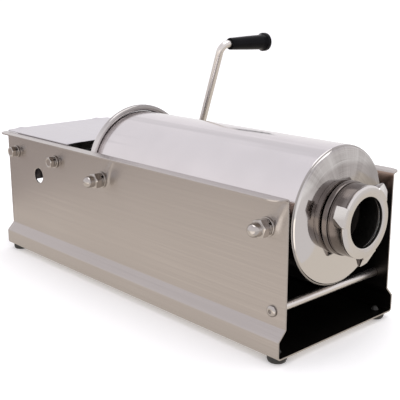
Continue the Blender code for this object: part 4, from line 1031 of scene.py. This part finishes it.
def make_washers(kind, tag, x, z, side, hole, outer, spring_outer, looks):
    first = CHANNEL_HALF_WIDTH + GAP
    low, high = side * first, side * (first + FLAT_WASHER)
    ring = [(low, hole, 0.15), (low, outer, 0.5), (high, outer, 0.5), (high, hole, 0.25)]
    node = f"{kind}_washer_{tag}"
    turned(node, "frame", looks["fastener"], ring, "Y", (x, 0, z), MEDIUM)
    start = first + FLAT_WASHER + GAP
    steps = 90
    opening = math.radians(9)
    rise = 0.3  # from one end of the spring washer to the other
    wide = SPRING_WASHER - rise
    corners = ((0, hole), (0, spring_outer), (wide, spring_outer), (wide, hole))
    section = rounded([(a, r, 0.35) for a, r in corners], 2)

    def build(bm):
        rings = []
        for k in range(steps + 1):
            share = k / steps
            angle = math.radians(55) + opening + (2 * math.pi - 2 * opening) * share
            rings.append([])
            for a, r in section:
                spot = around("Y", side * (start + a + rise * share), r, angle)
                rings[-1].append(bm.verts.new(spot + Vector((x, 0, z))))
        skin(bm, rings)

    item = new_object(f"{kind}_spring_{tag}", build)
    finish_piece(item, "frame", looks["fastener"], 30.0)


def make_stud(tag, x, side, looks):
    inner = CYLINDER_RADIUS + GAP
    shoulder = PANEL_INSIDE - GAP
    tip = STACK + ACORN_DOME_CENTRE - 1
    corners = [(side * y, radius, fillet) for y, radius, fillet in (
        (inner, 0, 0), (inner, STUD_BOSS_RADIUS, 0.6), (shoulder, STUD_BOSS_RADIUS, 0.8),
        (shoulder, STUD_RADIUS, 0.3), (tip, STUD_RADIUS, 0.5), (tip, 0, 0),
    )]
    centre = (x, 0, STUD_Z)
    turned(
        f"stud_{tag}", "frame", looks["fastener"], corners, "Y", centre, COARSE, closed=False
    )


def make_tie_rod(looks):
    end = PANEL_INSIDE - GAP
    hole = TIE_SCREW_RADIUS + HOLE_CLEARANCE
    centre = (TIE_X, 0, TIE_Z)
    outline = [
        (-end + 16, 0, 0), (-end + 16, hole, 0), (-end, hole, 0.2), (-end, TIE_RADIUS, 0.5),
        (end, TIE_RADIUS, 0.5), (end, hole, 0.2), (end - 16, hole, 0), (end - 16, 0, 0),
    ]
    turned(
        "front_tie_rod", "frame", looks["crank"], outline, "Y", centre, MEDIUM, closed=False
    )
    seat = CHANNEL_HALF_WIDTH + GAP
    head = (
        (0.0, 5.7), (0.3, 5.88), (0.8, 5.9), (1.3, 5.72), (1.9, 5.25), (2.5, 4.5), (2.95, 3.6), (3.15, 2.6),
        (3.2, 0),
    )
    screw = [
        (PANEL_INSIDE - 14, 0), (PANEL_INSIDE - 14, TIE_SCREW_RADIUS - 0.5),
        (PANEL_INSIDE - 13.5, TIE_SCREW_RADIUS), (seat, TIE_SCREW_RADIUS),
    ] + [(seat + a, radius) for a, radius in head]
    hexagon = [(TIE_Z + v, TIE_X + u) for u, v in arc((0, 0), 2.3, 10, 310, 5)]
    for name, side in SIDES.items():
        outline = [(side * y, radius) for y, radius in screw]
        item = new_object(
            f"tie_screw_{name}", lambda bm: lathe(bm, outline, "Y", centre, MEDIUM, closed=False)
        )
        start, stop = sorted((side * (seat + 1.2), side * (seat + 6)))
        combine(item, lambda bm: prism(bm, hexagon, "Y", start, stop))
        finish_piece(item, "frame", looks["fastener"], 30.0)


def make_feet(looks):
    low, stem, top = -FOOT_HEIGHT, FOOT_STEM_RADIUS, SHEET + GAP
    corners = [
        (low, 0, 0), (low, 3.5, 0.2), (low + 0.6, 3.7, 0.2), (low + 0.6, 4.6, 0.2), (low, 4.8, 0.2),
        (low, FOOT_RADIUS - 1.2, 1.0), (low + 3.0, FOOT_RADIUS, 1.0), (-GAP, FOOT_RADIUS, 0.5),
        (-GAP, stem, 0.2), (top, stem, 0.2), (top, stem + 1.4, 0.3), (SHEET + 4, stem - 1, 0.5),
        (SHEET + 4, 0, 0),
    ]
    for side_name, side in SIDES.items():
        for end_name, x in FOOT_X.items():
            turned(
                f"foot_{side_name}_{end_name}", "frame", looks["rubber"], corners, "Z",
                (x, side * FOOT_Y, 0), MEDIUM, closed=False,
            )


# ---- crank ----


def sweep(bm, path, across, sizes, segments):
    """A round bar along a path that lies in the plane square to across, with its radius at each point."""
    rings = []
    for k, point in enumerate(path):
        before = path[max(k - 1, 0)]
        after = path[min(k + 1, len(path) - 1)]
        other = (after - before).normalized().cross(across)
        size = sizes[k]
        ring = []
        for s in range(segments):
            angle = 2 * math.pi * s / segments
            ring.append(bm.verts.new(point + size * (math.cos(angle) * across + math.sin(angle) * other)))
        rings.append(ring)
    skin(bm, rings)


def make_crank(looks):
    outward = Vector((0, 1, 0))
    across = outward.cross(ARM)
    path = [HUB_CENTRE + ARM * a for a in spaced(4.0, ARM_LENGTH - ARM_BEND_RADIUS, 6.0)]
    bend = ARM_BEND_RADIUS
    corner = BEND_POINT - ARM * bend + outward * bend
    for k in range(1, 24):
        angle = math.radians(90 * k / 24)
        path.append(corner - outward * bend * math.cos(angle) + ARM * bend * math.sin(angle))
    path.append(BEND_POINT + outward * bend)
    end = GRIP_SCREW_HEAD_Y - GAP
    path += [Vector((BEND_POINT.x, y, BEND_POINT.z)) for y in (GRIP_INNER_Y, GRIP_INNER_Y + 30, end - 0.5, end)]
    sizes = [ARM_RADIUS] * (len(path) - 1) + [ARM_RADIUS - 0.5]
    item = new_object("crank_rod", lambda bm: sweep(bm, path, across, sizes, COARSE))
    finish_piece(item, "crank", looks["crank"])

    y, outer = HUB_INNER_Y, HUB_OUTER_Y
    corners = [
        (y, 0, 0), (y, HUB_RADIUS, 1.2), (y + 7, HUB_RADIUS, 0.2), (y + 7.4, HUB_RADIUS - 0.5, 0.1),
        (y + 8.6, HUB_RADIUS - 0.5, 0.1), (y + 9.0, HUB_RADIUS, 0.2), (outer, HUB_RADIUS, 1.8),
        (outer, 5.0, 0.4), (outer - 0.8, 4.2, 0.4), (outer - 0.8, 0, 0),
    ]
    outline = rounded(corners, 3, closed=False)
    centre = (CRANK_X, 0, SHAFT_Z)
    hub = new_object("crank_hub", lambda bm: lathe(bm, outline, "Y", centre, MEDIUM, closed=False))
    half = SQUARE_HALF + GAP
    low, high = SHAFT_Z - half, SHAFT_Z + half
    rear, front = CRANK_X - half, CRANK_X + half
    square = [(low, rear), (low, front), (high, front), (high, rear)]
    combine(hub, lambda bm: prism(bm, square, "Y", HUB_INNER_Y - 2, SOCKET_END_Y))
    socket = [HUB_CENTRE + ARM * 3.6, HUB_CENTRE + ARM * 20]
    combine(hub, lambda bm: sweep(bm, socket, across, [ARM_RADIUS + HOLE_CLEARANCE] * 2, COARSE))
    soften(hub, 0.3, 50.0)
    finish_piece(hub, "crank", looks["fastener"])

    head = GRIP_SCREW_HEAD_Y
    screw = rounded([
        (head - 14, 0, 0), (head - 14, 2.0, 0.3), (head, 2.0, 0.1), (head, 7.8, 0.3), (head + 1.6, 7.8, 1.0),
        (head + 3.2, 6.0, 1.5), (head + 3.8, 3.0, 1.5), (head + 3.9, 0, 0),
    ], 4, closed=False)
    item = new_object("grip_screw", lambda bm: lathe(bm, screw, "Y", GRIP_AXIS, COARSE, closed=False))
    slot = [(GRIP_AXIS[2] + v, GRIP_AXIS[0] + u) for u, v in ((-9, -0.7), (9, -0.7), (9, 0.7), (-9, 0.7))]
    combine(item, lambda bm: prism(bm, slot, "Y", head + 2.2, head + 6))
    finish_piece(item, "crank", looks["fastener"], 30.0)


def make_grip(looks):
    """Tapered moulded grip with a rolled collar at its outer end."""
    bore = ARM_RADIUS + 0.5
    inner, outer = GRIP_INNER_Y, GRIP_OUTER_Y
    seat = GRIP_SCREW_HEAD_Y - 0.6
    corners = [
        (inner, bore, 0.2), (inner, 7.95, 1.1), (inner + 12, 8.5, 8), (inner + 34, 9.45, 8),
        (outer - 14.0, 10.2, 3.0), (outer - 10.0, 11.2, 1.6), (outer - 8.2, 12.7, 1.3),
        (outer - 2.6, 12.7, 2.4), (outer - 0.4, 10.4, 1.4), (outer, 9.2, 0.3), (outer - 0.4, 8.6, 0.3),
        (seat, 8.6, 0.2), (seat, bore, 0.1),
    ]
    turned("crank_grip", "grip", looks["grip"], corners, "Y", GRIP_AXIS, steps=5, sharp=50.0)


# ---- gearbox ----


def make_bushes(looks):
    for shaft, x in (("pinion", PINION_X), ("crank", CRANK_X)):
        for name, side in SIDES.items():
            if side > 0:
                flange_end = FAR_PLATE_Y - GAP
                body_end = CHANNEL_HALF_WIDTH + 1
            else:
                flange_end = BRACKET_LEG_Y + BRACKET_SHEET + GAP
                body_end = BRACKET_LEG_Y - 1
            start = flange_end - side * BUSH_FLANGE
            corners = [
                (start, BUSH_BORE, 0.3), (start, BUSH_FLANGE_RADIUS, 0.5),
                (flange_end, BUSH_FLANGE_RADIUS, 0.3), (flange_end, BUSH_RADIUS, 0.1),
                (body_end, BUSH_RADIUS, 0.4), (body_end, BUSH_BORE, 0.3),
            ]
            node = f"{shaft}_bush_{name}"
            turned(node, "frame", looks["bronze"], corners, "Y", (x, 0, SHAFT_Z), MEDIUM)


def dress_cad_nodes(looks):
    """The gearbox's CAD solids keep their shape, with their edges broken."""
    machined = (
        "rack_bar", "rack_guide", "gearbox_bracket", "gearbox_plate", "pinion_shaft", "bull_gear",
        "crank_shaft",
    )
    for name in machined + ("piston_screw",):
        item = NODES[name]
        item.data.materials.clear()
        item.data.materials.append(looks["machined"] if name in machined else looks["fastener"])
        weld = item.modifiers.new("weld", "WELD")
        weld.merge_threshold = 0.00001
        edge = item.modifiers.new("edge", "BEVEL")
        edge.width = 0.00025
        edge.segments = 2
        edge.limit_method = "ANGLE"
        edge.angle_limit = math.radians(32)
        edge.harden_normals = False
        smooth = item.modifiers.new("planar", "WEIGHTED_NORMAL")
        smooth.keep_sharp = True
        item.data.shade_smooth()


# ---- studio ----

# the table as reflections see it: corners of each part, and tones from beside the machine outwards; the near
# part's darker tone beside the machine is a painted shadow, and its darker far end painted shade
TABLE_NEAR = ((-0.52, -1.3), (-0.292, -1.3), (0.319, -0.155), (-0.50, -0.155))
TABLE_FAR = ((0.319, -0.155), (0.936, 1.0), (-0.52, 1.0), (-0.318, -0.155))
NEAR_TONES_WITH_PAINTED_SHADOW = ((0.0, (0.80, 0.74, 0.68)), (0.17, (0.96, 0.88, 0.80)), (1.0, (0.80, 0.73, 0.66)))
FAR_TONES = ((0.0, (0.76, 0.70, 0.632)), (1.0, (0.76, 0.70, 0.632)))
TABLE_INNER_Y, TABLE_OUTER_Y = -0.155, -0.62
# the room's walls from the horizon upwards
SKY_TONES = (
    (0.0, (1.0, 0.985, 0.99)), (0.12, (1.0, 0.98, 0.99)), (0.35, (1.0, 0.97, 1.0)), (0.7, (0.95, 0.93, 0.97)),
    (1.0, (0.82, 0.80, 0.84)),
)


def flat_piece(name, corners, z):
    """A staged flat face."""
    mesh = bpy.data.meshes.new(name)
    mesh.from_pydata([(x, y, z) for x, y in corners], [], [tuple(range(len(corners)))])
    item = bpy.data.objects.new(name, mesh)
    bpy.context.scene.collection.objects.link(item)
    return item


def make_floor():
    half = 150.0
    floor = flat_piece("floor", ((-half, -half), (half, -half), (half, half), (-half, half)), 0.0)
    look = Look("floor_paper", (0.93, 0.93, 0.93), 0.0, 0.9)
    fibres = look.grain((300, 300, 300), 3.0, 0.6)
    tones = ((0.92, 0.92, 0.92), (0.94, 0.94, 0.94))
    look.set("Base Color", look.mix(look.ramp(fibres, 0.3, 0.7, 0.0, 1.0), *tones))
    look.set("Specular IOR Level", 0.1)
    look.set("Emission Color", (1.0, 1.0, 1.0, 1.0))
    look.set("Emission Strength", 0.2)
    floor.data.materials.append(look.material)
    floor.visible_glossy = False
    make_table_tone("table_near", TABLE_NEAR, NEAR_TONES_WITH_PAINTED_SHADOW)
    make_table_tone("table_far", TABLE_FAR, FAR_TONES)


def colour_stops(nodes, value, stops):
    ramp = nodes.add("ShaderNodeValToRGB", Fac=value)
    elements = ramp.color_ramp.elements
    while len(elements) < len(stops):
        elements.new(0.5)
    for element, (position, colour) in zip(elements, stops):
        element.position = position
        element.color = (*colour, 1.0)
    return ramp.outputs["Color"]


def make_table_tone(name, corners, tones):
    """A glowing part of the table, just above the floor, that only mirror reflections see."""
    table = flat_piece(name, corners, 0.0004)
    tone = bpy.data.materials.new(name)
    tone.use_nodes = True
    nodes = Nodes(tone.node_tree)
    nodes.tree.nodes.clear()
    place = nodes.add("ShaderNodeTexCoord").outputs["Object"]
    y = nodes.add("ShaderNodeSeparateXYZ", Vector=place).outputs["Y"]
    colour = colour_stops(nodes, nodes.ramp(y, TABLE_INNER_Y, TABLE_OUTER_Y, 0.0, 1.0), tones)
    glow = nodes.add("ShaderNodeEmission", Color=colour)
    nodes.add("ShaderNodeOutputMaterial", Surface=glow.outputs["Emission"])
    table.data.materials.append(tone)
    table.visible_camera = False
    table.visible_diffuse = False
    table.visible_shadow = False
    table.visible_transmission = False


def make_world():
    """White room. Below the horizon, which only reflections see, it is darker, but bright on the near side."""
    world = bpy.data.worlds.new("studio")
    bpy.context.scene.world = world
    world.use_nodes = True
    nodes = Nodes(world.node_tree)
    nodes.tree.nodes.clear()
    direction = nodes.add("ShaderNodeTexCoord").outputs["Generated"]
    height = nodes.add("ShaderNodeSeparateXYZ", Vector=direction).outputs["Z"]

    def towards(way, low, high):
        """From 0 to 1 as a direction turns towards the given one."""
        made = nodes.add("ShaderNodeVectorMath")
        made.operation = "DOT_PRODUCT"
        nodes.feed(made.inputs[0], direction)
        nodes.feed(made.inputs[1], Vector(way).normalized())
        return nodes.ramp(made.outputs["Value"], low, high, 0.0, 1.0, "SMOOTHSTEP")

    below = nodes.mix(towards((0.73, 0.68, 0.0), -0.3, 0.3), (0.53, 0.465, 0.435), (0.76, 0.73, 0.73))
    below = nodes.mix(towards((0.25, -0.97, 0.0), 0.58, 0.74), below, (1.6, 1.5, 1.4))
    above = nodes.ramp(height, -0.08, -0.015, 0.0, 1.0, "SMOOTHSTEP")
    room = nodes.mix(above, below, colour_stops(nodes, height, SKY_TONES))
    background = nodes.add("ShaderNodeBackground", Color=room, Strength=1.0)
    nodes.add("ShaderNodeOutputWorld", Surface=background.outputs["Background"])


def make_light():
    """One large soft box over the machine."""
    light = bpy.data.lights.new("top", "AREA")
    light.shape = "RECTANGLE"
    light.size = 1.8
    light.size_y = 1.4
    light.energy = 14.0
    item = bpy.data.objects.new("top", light)
    item.location = (0.1, 0.3, 2.0)
    item.rotation_mode = "QUATERNION"
    item.rotation_quaternion = (Vector((0, 0, 0.1)) - item.location).to_track_quat("-Z", "Y")
    bpy.context.scene.collection.objects.link(item)


CAMERA_PLACE = (0.6997, -0.6676, 0.3441)
CAMERA_TURN = (137.66, -14.57, -0.13)  # yaw, pitch and roll, in degrees
CAMERA_LENS = 70.7


def make_camera():
    data = bpy.data.cameras.new("camera")
    data.sensor_width = 36.0
    data.lens = CAMERA_LENS
    data.clip_start = 0.02
    data.clip_end = 100.0
    item = bpy.data.objects.new("camera", data)
    bpy.context.scene.collection.objects.link(item)
    yaw, pitch, roll = (math.radians(turn) for turn in CAMERA_TURN)
    ahead = Vector((math.cos(pitch) * math.cos(yaw), math.cos(pitch) * math.sin(yaw), math.sin(pitch)))
    item.rotation_mode = "QUATERNION"
    item.rotation_quaternion = ahead.to_track_quat("-Z", "Y") @ Matrix.Rotation(roll, 4, "Z").to_quaternion()
    item.location = CAMERA_PLACE
    bpy.context.scene.camera = item


def make_fasteners(looks):
    for side_name, side in SIDES.items():
        for end_name, x in STUD_X.items():
            tag = f"{side_name}_{end_name}"
            make_stud(tag, x, side, looks)
            make_acorn(tag, x, side, looks)
            make_washers("stud", tag, x, STUD_Z, side, STUD_RADIUS + HOLE_CLEARANCE, 9.8, 8.6, looks)
        for end_name, x in BOLT_X.items():
            tag = f"{side_name}_{end_name}"
            make_bolt_head(tag, x, side, looks)
            make_washers("bolt", tag, x, BOLT_Z, side, BOLT_RADIUS + HOLE_CLEARANCE, 8.0, 6.8, looks)
    make_tie_rod(looks)


def main():
    looks = make_materials()
    for make in (
        make_channel, make_cover, make_barrel, make_bead, make_outlet, make_nozzle_nut, make_piston,
        make_fasteners, make_feet, make_crank, make_grip, make_bushes, dress_cad_nodes,
    ):
        make(looks)
    make_floor()
    make_world()
    make_light()
    make_camera()
    bpy.context.scene.view_settings.view_transform = "Standard"


main()
